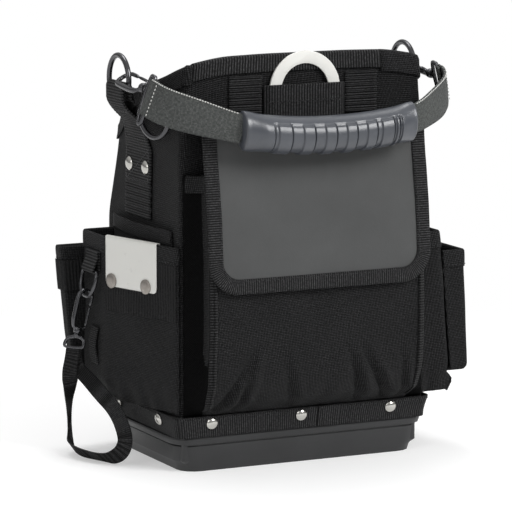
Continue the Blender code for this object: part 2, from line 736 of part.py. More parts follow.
def plan(u, v, w):
    """Place of an outline drawn in X and Y, at a height."""
    return Vector((u, v, w))


def panel_y(z):
    """Outer face of the bellows panel at a height."""
    share = (z - PANEL_LOW_Z) / (PANEL_TOP_Z - PANEL_LOW_Z)
    return WALL_FACE_Y - GAP - CLOTH - PANEL_BULGE * at(PANEL_SHARES, share)


def make_front_pocket(look):
    """Bulging front panel and the gussets that join it to the walls."""
    levels = [blend(PANEL_LOW_Z, PANEL_TOP_Z, share) for share, bulge in PANEL_SHARES]
    path = [(panel_y(z), z) for z in levels]
    folded("pocket_front", path, 0.0, CLOTH, -PANEL_W / 2, PANEL_W / 2, side_on, look)
    start = blend(PANEL_LOW_Z, PANEL_TOP_Z, GUSSET_LOW_SHARE)
    heights = [start] + [z for z in levels if z > start]
    heights[-1] -= GUSSET_TOP_DROP
    x_front = PANEL_W / 2 + GAP
    x_wall = x_front + GUSSET_SPREAD
    y_wall = WALL_FACE_Y - GAP
    for side, word in SIDES:
        rings = [
            [
                Vector((side * x, y, z)) for x, y in (
                    (x_wall, y_wall), (x_wall + CLOTH, y_wall),
                    (x_front + CLOTH, panel_y(z)), (x_front, panel_y(z)),
                )
            ] for z in heights
        ]
        loft(f"pocket_gusset_{word}", rings, look)


def flap_y(z):
    """Outer face of the hanging flap at a height."""
    share = (FLAP_FOLD_Z - z) / (FLAP_FOLD_Z - FLAP_LOW_Z)
    return WALL_FACE_Y - FLAP_REACH - FLAP_HANG * at(FLAP_HANG_SHARES, share)


def flap_axis():
    """Fold line between the flap's root and its turning part."""
    return Vector((0, WALL_FACE_Y - GAP - FLAP_REACH, FLAP_FOLD_Z))


def make_flap(look, binding_look):
    """Root that rolls over the pocket's mouth from its seam, and the hanging flap."""
    drop = FLAP_ROOT_Z - FLAP_FOLD_Z - FLAP_FOLD_GAP
    path = [
        (WALL_FACE_Y - GAP - FLAP_REACH * reach, FLAP_ROOT_Z - drop * fall)
        for reach, fall in FLAP_ROOT_SHARES
    ]
    seam = (0, WALL_FACE_Y - GAP, FLAP_ROOT_Z)
    root = folded("flap_root", path, CLOTH, 0.0, -FLAP_W / 2, FLAP_W / 2, side_on, look, seam)
    notch_y = WALL_FACE_Y - GAP - WEBBING - GAP - HANGER_T - GAP - WEBBING - FLAP_NOTCH_DEEP
    notch_x = KEEPER_W / 2 + FLAP_NOTCH_SIDE
    notch = [
        [
            Vector((KEEPER_X + x, y, z)) for x, y in (
                (-notch_x, notch_y), (notch_x, notch_y),
                (notch_x, WALL_FACE_Y + OVERRUN), (-notch_x, WALL_FACE_Y + OVERRUN),
            )
        ] for z in (FLAP_ROOT_Z - CLOTH - OVERRUN, FLAP_ROOT_Z + OVERRUN)
    ]
    combine(root, loft("flap_root_notch", notch, look, smooth=None), "DIFFERENCE")
    axis = flap_axis()
    top = FLAP_FOLD_Z - FLAP_FOLD_GAP
    lip = FLAP_BINDING_T + GAP
    half = FLAP_W / 2
    straight = [
        blend(FLAP_FOLD_Z, FLAP_LOW_Z, share) for share, hang in FLAP_HANG_SHARES
        if share > 0 and blend(FLAP_FOLD_Z, FLAP_LOW_Z, share) > FLAP_LOW_Z + FLAP_CORNER_R
    ]
    corner = [math.pi / 2 * k / FLAP_CORNER_STEPS for k in range(FLAP_CORNER_STEPS + 1)]
    edge = [(half, top, 0.0)] + [(half, z, 0.0) for z in straight]
    edge += [
        (half - FLAP_CORNER_R * (1 - math.cos(t)), FLAP_LOW_Z + FLAP_CORNER_R * (1 - math.sin(t)), t)
        for t in corner
    ]
    rows = [(x - lip * math.cos(turn), z + lip * math.sin(turn)) for x, z, turn in edge]
    rings = []
    for x, z in rows:
        front = flap_y(z) + lip
        rings.append([
            Vector((-x, front, z)), Vector((x, front, z)),
            Vector((x, front + FLAP_T, z)), Vector((-x, front + FLAP_T, z)),
        ])
    loft("flap_lower", rings, look, origin=axis)
    thick = FLAP_T + 2 * lip
    sections = []
    for x, z, turn in edge:
        ring = []
        for across, deep in (
            (0.0, 0.0), (FLAP_BINDING_W, 0.0), (FLAP_BINDING_W, FLAP_BINDING_T),
            (FLAP_BINDING_T, FLAP_BINDING_T), (FLAP_BINDING_T, thick - FLAP_BINDING_T),
            (FLAP_BINDING_W, thick - FLAP_BINDING_T), (FLAP_BINDING_W, thick), (0.0, thick),
        ):
            px = x - across * math.cos(turn)
            pz = z + across * math.sin(turn)
            ring.append(Vector((px, flap_y(pz) + deep, pz)))
        sections.append(ring)
    mirrored = [[Vector((-p.x, p.y, p.z)) for p in ring] for ring in reversed(sections)]
    loft("flap_binding", sections + mirrored, binding_look, origin=axis)


def ring_bar_z():
    """Height of a D-ring's straight bar."""
    return RING_Z - RING_BAR_DROP


def make_d_ring(name, side, look):
    """Side D-ring: an arc over a straight bar."""
    points = []
    for k in range(RING_STEPS + 1):
        turn = math.pi * k / RING_STEPS
        points.append(Vector((0, RING_R * math.cos(turn), RING_Z + RING_R * math.sin(turn))))
    low = ring_bar_z()
    corner = RING_R * RING_CORNER_SHARE
    bend = blend(corner, RING_R, 0.75)
    middle = blend(low, RING_Z, 0.45)
    for y, z in ((-bend, middle), (-corner, low), (corner, low), (bend, middle)):
        points.append(Vector((0, y, z)))
    points = [p + Vector((side * RING_X, RING_Y, 0)) for p in points]
    rings = tube_rings(points, [RING_WIRE_R] * len(points), Vector((1, 0, 0)), around=True)
    loft(name, rings, look, around=True, origin=(side * RING_X, RING_Y, low))


def make_tab(name, side, look):
    """Webbing that climbs the side wall, folds over the ring's bar and goes down inside."""
    bar = ring_bar_z()
    radius = RING_WIRE_R + GAP + WEBBING / 2
    seat = TAB_CLEAR + WEBBING / 2
    grids = ([], [])
    for column in range(TAB_COLUMNS + 1):
        share = column / TAB_COLUMNS - 0.5
        top_y = RING_Y + share * TAB_TOP_W
        edge = side_top(top_y) + TAB_CLEAR

        def across(z):
            climb = (min(max(z, TAB_LOW_Z), bar) - TAB_LOW_Z) / (bar - TAB_LOW_Z)
            return blend(TAB_LOW_Y, RING_Y, climb) + share * blend(TAB_LOW_W, TAB_TOP_W, climb)

        path = []
        for z in (TAB_LOW_Z, blend(TAB_LOW_Z, LEAN_Z, 0.5), LEAN_Z, blend(LEAN_Z, edge, 0.5), edge):
            path.append((wall_x(across(z), z) + seat, z))
        rise, run = edge - bar, path[-1][0] - RING_X
        begin = math.atan2(rise, run) + math.acos(radius / math.hypot(rise, run))
        run -= CLOTH + 2 * seat
        end = math.atan2(rise, run) - math.acos(radius / math.hypot(rise, run)) + 2 * math.pi
        for step in range(TAB_FOLD_STEPS + 1):
            turn = blend(begin, end, step / TAB_FOLD_STEPS)
            path.append((RING_X + radius * math.cos(turn), bar + radius * math.sin(turn)))
        for z in (edge, blend(edge, TAB_IN_LOW_Z, 0.5), TAB_IN_LOW_Z):
            path.append((wall_x(across(z), z) - CLOTH - seat, z))
        flat = [Vector(p) for p in path]
        for grid, distance in zip(grids, (-WEBBING / 2, WEBBING / 2)):
            grid.append([
                Vector((side * p.x, across(z), p.y))
                for p, (unused, z) in zip(offset_line(flat, distance), path)
            ])
    sheet(name, grids[0], grids[1], look)


def make_tab_rivets(look):
    """Flat rivets through each side tab."""
    for side, word in SIDES:
        for i, y in enumerate(TAB_RIVET_Y):
            seat = HALF_W + TAB_CLEAR + WEBBING + GAP
            name = f"tab_rivet_{word}_{i + 1}"
            dome(name, TAB_RIVET_R, TAB_RIVET_H, (side * seat, y, TAB_RIVET_Z), (side, 0, 0), look)


def hanging_tab(name, face_x, bar_x, y, width, bar_z, top_z, wire_r, cloth, clear, look):
    """Small tab sewn to a side face, folded round a ring's bar below it."""
    radius = wire_r + 2 * GAP + cloth / 2
    seat = clear + cloth / 2
    grids = ([], [])
    for column in range(SMALL_TAB_COLUMNS + 1):
        across = y + (column / SMALL_TAB_COLUMNS - 0.5) * width
        centre = bar_x(across)
        path = [(face_x(across, z) + seat, z) for z in (top_z, blend(bar_z, top_z, 0.55))]
        for step in range(TAB_FOLD_STEPS + 1):
            turn = math.pi * (1 + step / TAB_FOLD_STEPS)
            path.append((centre + radius * math.cos(turn), bar_z + radius * math.sin(turn)))
        lap = seat + cloth + GAP
        path += [(face_x(across, z) + lap, z) for z in (blend(bar_z, top_z, 0.6), top_z)]
        flat = [Vector(p) for p in path]
        for grid, distance in zip(grids, (-cloth / 2, cloth / 2)):
            grid.append([Vector((-p.x, across, p.y)) for p in offset_line(flat, distance)])
    sheet(name, grids[0], grids[1], look)


def hook_frame(side):
    """Ring wire's centre, the direction along the hook and the one to its solid side."""
    centre = Vector((side * RING_X, RING_Y - RING_R, RING_Z + HOOK_LIFT))
    ahead = Vector((0, -math.cos(HOOK_DROP), -math.sin(HOOK_DROP)))
    down = Vector((0, math.sin(HOOK_DROP), -math.cos(HOOK_DROP)))
    solid = Vector((side, 0, 0)) * math.cos(HOOK_TILT) + down * math.sin(HOOK_TILT)
    return centre, ahead, solid


def make_hook(name, frame, sizes, look, pivot_at):
    """Open hook round a ring's wire, with the barrel of its swivel."""
    centre, ahead, solid = frame
    back, nose, pivot, barrel, scale = sizes
    half = HOOK_HALF_W * scale
    wire = HOOK_WIRE_R * scale
    spine = HOOK_SPINE_R * scale
    root = barrel + wire * 0.5
    line = [
        (pivot, -half, wire), (blend(pivot, barrel, 0.4), -half, wire),
        (blend(pivot, root, 0.9), -half * 0.72, wire), (root, -half * 0.3, wire),
        (root, half * 0.3, wire), (blend(pivot, root, 0.6), half * 0.72, wire),
        (blend(nose, pivot, 0.75), half, spine), (blend(-back, pivot, 0.55), half, spine),
    ]
    bend = half - back
    for step in range(HOOK_STEPS + 1):
        turn = math.pi * (0.5 + step / HOOK_STEPS)
        thick = blend(spine, wire, min(1.0, 2 * step / HOOK_STEPS))
        line.append((bend + half * math.cos(turn), half * math.sin(turn), thick))
    line.append((nose, -half, wire))
    points = [centre + ahead * s + solid * q for s, q, r in line]
    normal = ahead.cross(solid)
    rings = tube_rings(points, [r for s, q, r in line], normal)
    hook = loft(name, rings, look, origin=pivot_at)
    length = HOOK_BARREL_L * scale
    radius = HOOK_BARREL_R * scale
    profile = [
        (radius * 0.8, barrel), (radius, blend(barrel, barrel + length, 0.2)),
        (radius, blend(barrel, barrel + length, 0.8)), (radius * 0.8, barrel + length),
    ]
    return combine(hook, turned(f"{name}_barrel", profile, centre, ahead, look), "UNION")


def make_gate(name, frame, sizes, look):
    """Sprung bar that closes the hook, turning inward about its foot."""
    centre, ahead, solid = frame
    back, nose, pivot, barrel, scale = sizes
    foot = centre + ahead * (pivot - GATE_GAP) - solid * HOOK_HALF_W * scale
    length = pivot - nose - 2 * GATE_GAP
    radius = GATE_R * scale
    profile = [(radius * 0.7, 0.0), (radius, radius), (radius, length - radius), (radius * 0.7, length)]
    turned(name, profile, foot, -ahead, look, sides=8, origin=foot)
    return foot, solid.cross(ahead)


def eye_frame(frame, sizes, lean):
    """Start of the swivel eye's loop, its two directions and its post's place."""
    centre, ahead, solid = frame
    back, nose, pivot, barrel, scale = sizes
    post = centre + ahead * (barrel + HOOK_BARREL_L * scale + GAP)
    return post, ahead, Vector(lean).normalized()


def make_eye(name, frame, half, reach, drop, scale, look):
    """Swivel eye: a post and the wire loop that the webbing goes round."""
    post, ahead, lean = frame
    wire = EYE_WIRE_R * scale
    start = post + ahead * EYE_POST_L * scale
    up = [(half * h - drop * min(1.0, 2 * r), reach * r) for h, r in EYE_LOOP_SHARES]
    low = reversed(EYE_LOOP_SHARES[1:])
    down = [(-half * h - drop * min(1.0, 2 * r), reach * r) for h, r in low]
    points = [start + ahead * s + lean * h for h, s in up + down]
    normal = ahead.cross(lean).normalized()
    rings = tube_rings(points, [wire] * len(points), normal, around=True)
    eye = loft(name, rings, look, around=True, origin=post)
    radius = EYE_POST_R * scale
    profile = [(radius * 0.9, 0.0), (radius, EYE_POST_L * scale * 0.2), (radius, EYE_POST_L * scale)]
    return combine(eye, turned(f"{name}_post", profile, post, ahead, look), "UNION")


def eye_bar(frame, reach, drop, scale):
    """Middle of the eye's straight bar."""
    post, ahead, lean = frame
    return post + ahead * (EYE_POST_L * scale + reach) - lean * drop


def make_strap(name, side, frame, look, origin):
    """Handle strap: lapped round the eye's bar and led forward into the grip."""
    bar = eye_bar(frame, EYE_REACH, EYE_DROP, 1.0)
    lean = frame[2]
    out = side * bar.x
    radius = EYE_WIRE_R + GAP + WEBBING / 2
    lap = WEBBING / 2 + GAP
    path = [(out - lap, bar.y - STRAP_LAP, bar.z, 1.0, 1.0)]
    path.append((out - lap, bar.y - STRAP_LAP / 2, bar.z, 1.0, 1.0))
    for step in range(TAB_FOLD_STEPS + 1):
        turn = math.pi * (1 - step / TAB_FOLD_STEPS)
        path.append((out + radius * math.cos(turn), bar.y + radius * math.sin(turn), bar.z, 1.0, 1.0))
    path.append((out + lap, bar.y - STRAP_LAP / 2, bar.z, 1.0, 1.0))
    path.append((out + lap, bar.y - STRAP_LAP, bar.z, 0.9, 1.0))
    run = [(HALF_W + out, WALL_FACE_Y + ahead, z) for out, ahead, z in STRAP_RUN]
    run += [(GRIP_HALF_L + GAP, GRIP_Y, GRIP_END_Z)]
    for (x, y, z), tilt, tall in zip(run, STRAP_LEAN_SHARES, STRAP_HEIGHT_SHARES):
        path.append((x, y, z, tilt, tall))
    flat = [Vector((p[0], p[1])) for p in path]
    grids = ([], [])
    for grid, distance in zip(grids, (-WEBBING / 2, WEBBING / 2)):
        for spot, (x, y, z, tilt, tall) in zip(offset_line(flat, distance), path):
            row = []
            for end in (-0.5, 0.5):
                rise = (lean * tilt + Vector((0, 0, 1)) * (1 - tilt)) * STRAP_H * tall * end
                row.append(Vector((side * spot.x, spot.y, z)) + rise)
            grid.append(row)
    sheet(name, grids[0], grids[1], look, origin=origin)


def grip_z(x):
    """Height of the grip's centre line."""
    return GRIP_END_Z - GRIP_SAG * (1 - (x / GRIP_HALF_L) ** 2)


def make_grip(look, origin):
    """Moulded grip with ribs, sagging between its ends."""
    pitch = (GRIP_RIB_HIGH_X - GRIP_RIB_LOW_X) / GRIP_RIBS
    stations = [(-GRIP_HALF_L * x, tall, deep) for x, tall, deep in GRIP_END_SHARES]
    low = 1 - GRIP_RIB_H / GRIP_R
    for rib in range(GRIP_RIBS):
        start = GRIP_RIB_LOW_X + pitch * rib
        for share, size in ((0.10, 1.0), (0.25, low), (0.45, low), (0.60, 1.0)):
            stations.append((start + pitch * share, size, size))
    stations += [(GRIP_HALF_L * x, tall, deep) for x, tall, deep in reversed(GRIP_END_SHARES)]
    stations = sorted(stations)
    rings = []
    for x, tall, deep in stations:
        rings.append([
            Vector((
                x, GRIP_Y + GRIP_R * deep * math.cos(turn), grip_z(x) + GRIP_R * tall * math.sin(turn),
            )) for turn in (2 * math.pi * k / GRIP_SIDES for k in range(GRIP_SIDES))
        ])
    loft("grip", rings, look, origin=origin)


def make_side_ring(look, tab_look):
    """Small tab on the left wall with a D-ring that hangs from it."""
    def chord(y):
        low = SIDE_RING_Y - SIDE_TAB_W / 2
        high = SIDE_RING_Y + SIDE_TAB_W / 2
        edge = [wall_x(v, SIDE_RING_Z) for v in (low, high)]
        out = SIDE_TAB_CLEAR + WEBBING + SIDE_RING_PLAY + RING_WIRE_R
        return blend(edge[0], edge[1], (y - low) / (high - low)) + out

    hanging_tab(
        "side_ring_tab", wall_x, chord, SIDE_RING_Y, SIDE_TAB_W, SIDE_RING_Z, SIDE_TAB_TOP_Z,
        RING_WIRE_R, WEBBING, SIDE_TAB_CLEAR, tab_look,
    )
    step = SIDE_TAB_W / 2
    along = Vector((chord(SIDE_RING_Y - step) - chord(SIDE_RING_Y + step), SIDE_TAB_W, 0)).normalized()
    middle = Vector((-chord(SIDE_RING_Y), SIDE_RING_Y, SIDE_RING_Z))
    points = []
    for k in range(RING_STEPS + 1):
        turn = math.pi * k / RING_STEPS
        drop = SIDE_RING_REACH - SIDE_RING_R + SIDE_RING_R * math.sin(turn)
        points.append(middle + along * SIDE_RING_R * math.cos(turn) - Vector((0, 0, drop)))
    corner = SIDE_RING_R * RING_CORNER_SHARE
    for y in (-corner, corner):
        points.append(middle + along * y)
    normal = along.cross(Vector((0, 0, 1)))
    rings = tube_rings(points, [RING_WIRE_R] * len(points), normal, around=True)
    loft("side_ring", rings, look, around=True, origin=middle)
    return middle, along


def inset_outline(outline, depths):
    """Outline moved inward by a depth for each edge; an edge with None is left out."""
    edges = []
    for i, depth in enumerate(depths):
        if depth is None:
            continue
        start = Vector(outline[i])
        ahead = (Vector(outline[(i + 1) % len(outline)]) - start).normalized()
        edges.append((start + Vector((-ahead.y, ahead.x)) * depth, ahead))
    made = []
    for i, (start, ahead) in enumerate(edges):
        before, along = edges[i - 1]
        gap = start - before
        reach = (gap.x * ahead.y - gap.y * ahead.x) / (along.x * ahead.y - along.y * ahead.x)
        made.append(before + along * reach)
    return made


def pouch(name, side, levels, depths, floor, look):
    """Cloth pocket: outlines at rising heights, hollowed out from above."""
    def ring(outline, z):
        return [Vector((side * p[0], p[1], z)) for p in outline]

    body = loft(name, [ring(outline, z) for z, outline in levels], look, smooth=None)
    inner = [(z, inset_outline(outline, depths)) for z, outline in levels]
    (z0, low), (z1, high) = inner[0], inner[1]
    share = floor / (z1 - z0)
    inner[0] = (z0 + floor, [blend(p, q, share) for p, q in zip(low, high)])
    z_top, top = inner[-1]
    inner.append((z_top + OVERRUN, top))
    cavity = loft(f"{name}_cavity", [ring(outline, z) for z, outline in inner], look, smooth=None)
    return combine(body, cavity, "DIFFERENCE")


def left_pocket_outline(tuck):
    """Left pocket from above; its front face slants out to the bend."""
    out = LEFT_POCKET_OUT - tuck
    return [
        (SIDE_SEAT, WALL_FACE_Y), (SIDE_SEAT + LEFT_POCKET_START, WALL_FACE_Y),
        (out, LEFT_POCKET_BEND_Y), (out, LEFT_POCKET_REAR_Y), (SIDE_SEAT, LEFT_POCKET_REAR_Y),
    ]


def right_pocket_out(z):
    """Outer face of the right pocket at a height."""
    share = (z - POCKET_LOW_Z) / (RIGHT_POCKET_TOP_Z - POCKET_LOW_Z)
    return blend(RIGHT_POCKET_LOW_OUT, RIGHT_POCKET_TOP_OUT, share)


def make_side_pockets(look):
    """Pockets on both side walls."""
    past = -OVERRUN
    levels = [(POCKET_LOW_Z, left_pocket_outline(LEFT_POCKET_TUCK))]
    levels += [
        (blend(POCKET_LOW_Z, LEFT_POCKET_TOP_Z, share), left_pocket_outline(LEFT_POCKET_TUCK * tuck))
        for share, tuck in ((0.10, 0.2), (0.22, 0.0), (1.0, 0.0))
    ]
    depths = (None, CLOTH, CLOTH, CLOTH, past)
    pouch("left_side_pocket", -1, levels, depths, POCKET_FLOOR_T, look)
    front = LEFT_POCKET_REAR_Y + GAP
    levels = []
    for height, spread in REAR_POCKET_SHARES:
        out = blend(SIDE_SEAT, REAR_POCKET_OUT, spread)
        levels.append((
            blend(POCKET_LOW_Z, REAR_POCKET_TOP_Z, height),
            [(SIDE_SEAT, front), (out, front), (out, HALF_D), (SIDE_SEAT, HALF_D)],
        ))
    pouch("left_rear_pocket", -1, levels, (CLOTH, CLOTH, CLOTH, past), POCKET_FLOOR_T, look)
    levels = []
    for z in (POCKET_LOW_Z, RIGHT_POCKET_TOP_Z):
        out = right_pocket_out(z)
        levels.append((z, [
            (SIDE_SEAT, WALL_FACE_Y), (out, WALL_FACE_Y),
            (out, RIGHT_POCKET_BEND_Y), (SIDE_SEAT, RIGHT_POCKET_REAR_Y),
        ]))
    pouch("right_side_pocket", 1, levels, (CLOTH, CLOTH, CLOTH, past), POCKET_FLOOR_T, look)
    levels = []
    for z in (OUTER_POCKET_LOW_Z, OUTER_POCKET_TOP_Z):
        share = (z - OUTER_POCKET_LOW_Z) / (OUTER_POCKET_TOP_Z - OUTER_POCKET_LOW_Z)
        out = blend(OUTER_POCKET_LOW_OUT, OUTER_POCKET_TOP_OUT, share)
        near = right_pocket_out(z) + GAP
        levels.append((z, [
            (near, OUTER_POCKET_FRONT_Y), (out, OUTER_POCKET_FRONT_Y),
            (out, OUTER_POCKET_REAR_Y), (near, OUTER_POCKET_REAR_Y),
        ]))
    pouch("right_outer_pocket", 1, levels, (CLOTH,) * len(levels[0][1]), POCKET_FLOOR_T, look)


def make_upper_pocket(look):
    """Flat pocket on the left wall, bowed open behind the larger one."""
    grids = ([], [])
    for column in range(UPPER_POCKET_COLUMNS + 1):
        share = column / UPPER_POCKET_COLUMNS
        y = blend(UPPER_POCKET_FRONT_Y, UPPER_POCKET_REAR_Y, share)
        for grid, inset in zip(grids, (0.0, UPPER_POCKET_T)):
            row = []
            for step in range(UPPER_POCKET_ROWS + 1):
                rise = step / UPPER_POCKET_ROWS
                z = blend(UPPER_POCKET_LOW_Z, UPPER_POCKET_TOP_Z, rise)
                bow = UPPER_POCKET_BOW * blend(UPPER_POCKET_LOW_BOW_SHARE, 1.0, rise)
                out = SIDE_SEAT + UPPER_POCKET_T - inset + bow * math.sin(math.pi * share)
                row.append(Vector((-out, y, z)))
            grid.append(row)
    sheet("left_upper_pocket", grids[0], grids[1], look)


def slanted_face():
    """Start, direction and outward normal of the left pocket's slanted front face."""
    outline = left_pocket_outline(0.0)
    start = Vector(outline[1])
    along = (Vector(outline[2]) - start).normalized()
    return start, along, Vector((along.y, -along.x))


def make_clip_plate(look, rivet_look):
    """Metal plate folded over the left pocket's hem, with its two rivets."""
    start, along, normal = slanted_face()
    near = (PLATE_FRONT_Y - start.y) / along.y
    far = (PLATE_REAR_Y - start.y) / along.y
    steps = [PLATE_CORNER_R * (1 - math.cos(math.pi / 2 * k / CORNER_STEPS)) for k in range(CORNER_STEPS + 1)]
    stations = [near + s for s in steps] + [far - s for s in reversed(steps)]
    top = LEFT_POCKET_TOP_Z + GAP
    grids = ([], [])
    for s in stations:
        inset = max(0.0, PLATE_CORNER_R - min(s - near, far - s))
        low = PLATE_LOW_Z + PLATE_CORNER_R - math.sqrt(max(0.0, PLATE_CORNER_R ** 2 - inset ** 2))
        path = [
            Vector((GAP, low)), Vector((GAP, top)),
            Vector((-CLOTH - GAP, top)), Vector((-CLOTH - GAP, PLATE_IN_LOW_Z)),
        ]
        for grid, distance in zip(grids, (-PLATE_T, 0.0)):
            row = []
            for p in offset_line(path, distance):
                spot = start + along * s + normal * p.x
                row.append(Vector((-spot.x, spot.y, p.y)))
            grid.append(row)
    sheet("clip_plate", grids[0], grids[1], look)
    for i, y in enumerate(PLATE_RIVET_Y):
        spot = start + along * ((y - start.y) / along.y) + normal * (GAP + PLATE_T + GAP)
        axis = (-normal.x, normal.y, 0)
        name = f"plate_rivet_{i + 1}"
        place = (-spot.x, spot.y, PLATE_RIVET_Z)
        dome(name, PLATE_RIVET_R, PLATE_RIVET_H, place, axis, rivet_look)


def tape_bar_x():
    """Outboard distance of the tape ring's bar."""
    return LEFT_POCKET_OUT + TAPE_WEBBING + 3 * GAP + TAPE_RING_WIRE_R


def tape_frame():
    """Lowest point of the tape ring's wire, and the directions of its hook."""
    reach = Vector((-math.sin(TAPE_RING_TILT), 0, -math.cos(TAPE_RING_TILT))) * TAPE_RING_REACH
    centre = Vector((-tape_bar_x(), TAPE_Y, TAPE_RING_Z)) + reach
    ahead = Vector((-math.sin(TAPE_HOOK_TILT), 0, -math.cos(TAPE_HOOK_TILT)))
    return centre, ahead, Vector((ahead.z, 0, -ahead.x))


def make_tape_ring(look, tab_look):
    """Small tab and D-ring on the left pocket's outer face."""
    hanging_tab(
        "tape_tab", lambda y, z: LEFT_POCKET_OUT, lambda y: tape_bar_x(), TAPE_Y, TAPE_TAB_W,
        TAPE_RING_Z, TAPE_TAB_TOP_Z, TAPE_RING_WIRE_R, TAPE_WEBBING, GAP, tab_look,
    )
    down = Vector((-math.sin(TAPE_RING_TILT), 0, -math.cos(TAPE_RING_TILT)))
    bar = Vector((-tape_bar_x(), TAPE_Y, TAPE_RING_Z))
    half = TAPE_RING_W / 2
    points = [bar + Vector((0, half * w, 0)) + down * TAPE_RING_REACH * d for w, d in TAPE_RING_SHARES]
    points += [
        bar - Vector((0, half * w, 0)) + down * TAPE_RING_REACH * d
        for w, d in reversed(TAPE_RING_SHARES[:-1])
    ]
    normal = Vector((0, 1, 0)).cross(down)
    rings = tube_rings(points, [TAPE_RING_WIRE_R] * len(points), normal, around=True)
    loft("tape_ring", rings, look, around=True, origin=bar)


def make_tape_strap(frame, look):
    """Flat ribbon sewn in a loop through the tape hook's eye; it lies on the ground."""
    bar = eye_bar(frame, TAPE_EYE_REACH, 0.0, TAPE_HOOK_SHARE)
    wire = EYE_WIRE_R * TAPE_HOOK_SHARE
    lean = frame[2]
    away = Vector((-lean.y, lean.x, 0)).normalized()
    radius = wire + GAP + TAPE_T / 2
    start = Vector((-HALF_W, TAPE_Y, 0))
    run = [(start + Vector(step), Vector(wide)) for step, wide in TAPE_RUN]
    lap = away * (TAPE_T / 2 + GAP)
    sewn = bar - Vector((0, 0, TAPE_LAP))
    run.append((sewn + lap, lean))
    for step in range(TAB_FOLD_STEPS + 1):
        turn = math.pi * step / TAB_FOLD_STEPS
        spot = bar + away * radius * math.cos(turn) + Vector((0, 0, radius * math.sin(turn)))
        run.append((spot, lean))
    run.append((sewn - lap, lean))
    grids = ([], [])
    for i, (here, wide) in enumerate(run):
        ahead = (run[(i + 1) % len(run)][0] - run[i - 1][0]).normalized()
        across = (wide - ahead * wide.dot(ahead)).normalized() * TAPE_W / 2
        thick = ahead.cross(across).normalized() * TAPE_T / 2
        for grid, sign in zip(grids, (1, -1)):
            grid.append([here + across + thick * sign, here - across + thick * sign])
    sheet("tape_strap", grids[0], grids[1], look, around=True)


def make_all():
    """Every piece of the pouch."""
    cloth = finish("cloth", (0.022, 0.022, 0.024), 0.9)
    webbing = finish("webbing", (0.028, 0.028, 0.030), 0.85)
    flap_look = finish("flap_face", (0.085, 0.088, 0.088), 0.6)
    binding = finish("binding", (0.024, 0.024, 0.026), 0.85)
    base_look = finish("moulded_base", (0.040, 0.041, 0.043), 0.55)
    board_look = finish("board", (0.030, 0.030, 0.030), 0.7)
    strap_look = finish("strap_webbing", (0.20, 0.21, 0.20), 0.85)
    grip_look = finish("grip_rubber", (0.085, 0.092, 0.105), 0.5)
    gunmetal = finish("gunmetal", (0.13, 0.13, 0.13), 0.35, 1.0)
    nickel = finish("nickel", (0.62, 0.60, 0.57), 0.3, 1.0)
    plate_look = finish("pale_metal", (0.74, 0.74, 0.70), 0.4, 0.3)
    make_base(base_look, board_look)
    make_band(binding)
    make_band_rivets(nickel)
    make_walls(cloth)
    make_rim(webbing)
    make_strips(webbing)
    make_hanger(plate_look, webbing)
    make_front_pocket(cloth)
    make_flap(flap_look, binding)
    make_upper_pocket(cloth)
    make_side_pockets(cloth)
    make_clip_plate(plate_look, nickel)
    make_tab_rivets(nickel)
    swing = Vector((0, RING_Y, RING_Z))
    make_grip(grip_look, swing)
    for side, word in SIDES:
        make_d_ring(f"d_ring_{word}", side, gunmetal)
        make_tab(f"tab_{word}", side, webbing)
        frame = hook_frame(side)
        make_hook(f"hook_{word}", frame, HOOK_SIZES, gunmetal, frame[0])
        make_gate(f"gate_{word}", frame, HOOK_SIZES, gunmetal)
        lean = (-side * EYE_LEAN[0], EYE_LEAN[1], EYE_LEAN[2])
        eye = eye_frame(frame, HOOK_SIZES, lean)
        make_eye(f"eye_{word}", eye, EYE_HALF_H, EYE_REACH, EYE_DROP, 1.0, gunmetal)
        make_strap(f"strap_{word}", side, eye, strap_look, swing)
    make_side_ring(gunmetal, webbing)
    make_tape_ring(gunmetal, webbing)
    frame = tape_frame()
    make_hook("tape_hook", frame, TAPE_SIZES, gunmetal, frame[0])
    make_gate("tape_gate", frame, TAPE_SIZES, gunmetal)
    eye = eye_frame(frame, TAPE_SIZES, TAPE_EYE_LEAN)
    make_eye("tape_eye", eye, TAPE_EYE_HALF_W, TAPE_EYE_REACH, 0.0, TAPE_HOOK_SHARE, gunmetal)
    make_tape_strap(eye, webbing)


clear_scene()
make_all()
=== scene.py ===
"""Looks of an open tool pouch: cloth, webbing, grip, metal fittings, moulded base and its stage."""

import math

import bmesh
import bpy
from bpy.props import FloatProperty, FloatVectorProperty, PointerProperty
from mathutils import Matrix, Vector, noise


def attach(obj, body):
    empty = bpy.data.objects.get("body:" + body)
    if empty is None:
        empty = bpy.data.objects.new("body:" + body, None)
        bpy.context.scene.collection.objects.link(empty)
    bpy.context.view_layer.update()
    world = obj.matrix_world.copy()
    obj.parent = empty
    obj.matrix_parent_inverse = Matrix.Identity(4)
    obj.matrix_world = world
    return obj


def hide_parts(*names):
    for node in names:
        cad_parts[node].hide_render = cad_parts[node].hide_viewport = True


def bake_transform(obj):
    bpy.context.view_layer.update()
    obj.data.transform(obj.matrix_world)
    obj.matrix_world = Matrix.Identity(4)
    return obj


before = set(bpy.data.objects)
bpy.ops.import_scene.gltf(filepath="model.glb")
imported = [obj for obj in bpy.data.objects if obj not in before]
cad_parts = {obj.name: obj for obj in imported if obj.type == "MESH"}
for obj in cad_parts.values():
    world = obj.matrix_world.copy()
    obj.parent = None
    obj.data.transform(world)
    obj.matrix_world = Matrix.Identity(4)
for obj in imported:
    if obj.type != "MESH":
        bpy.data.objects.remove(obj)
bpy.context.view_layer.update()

bl_info = {
    "name": "Tool pouch",
    "version": (1, 0, 0),
    "blender": (4, 5, 0),
    "location": "3D View > Sidebar > Pouch",
    "description": "Builds the cloth, webbing and fittings of an open tool pouch on its packed solids",
    "category": "Add Mesh",
}

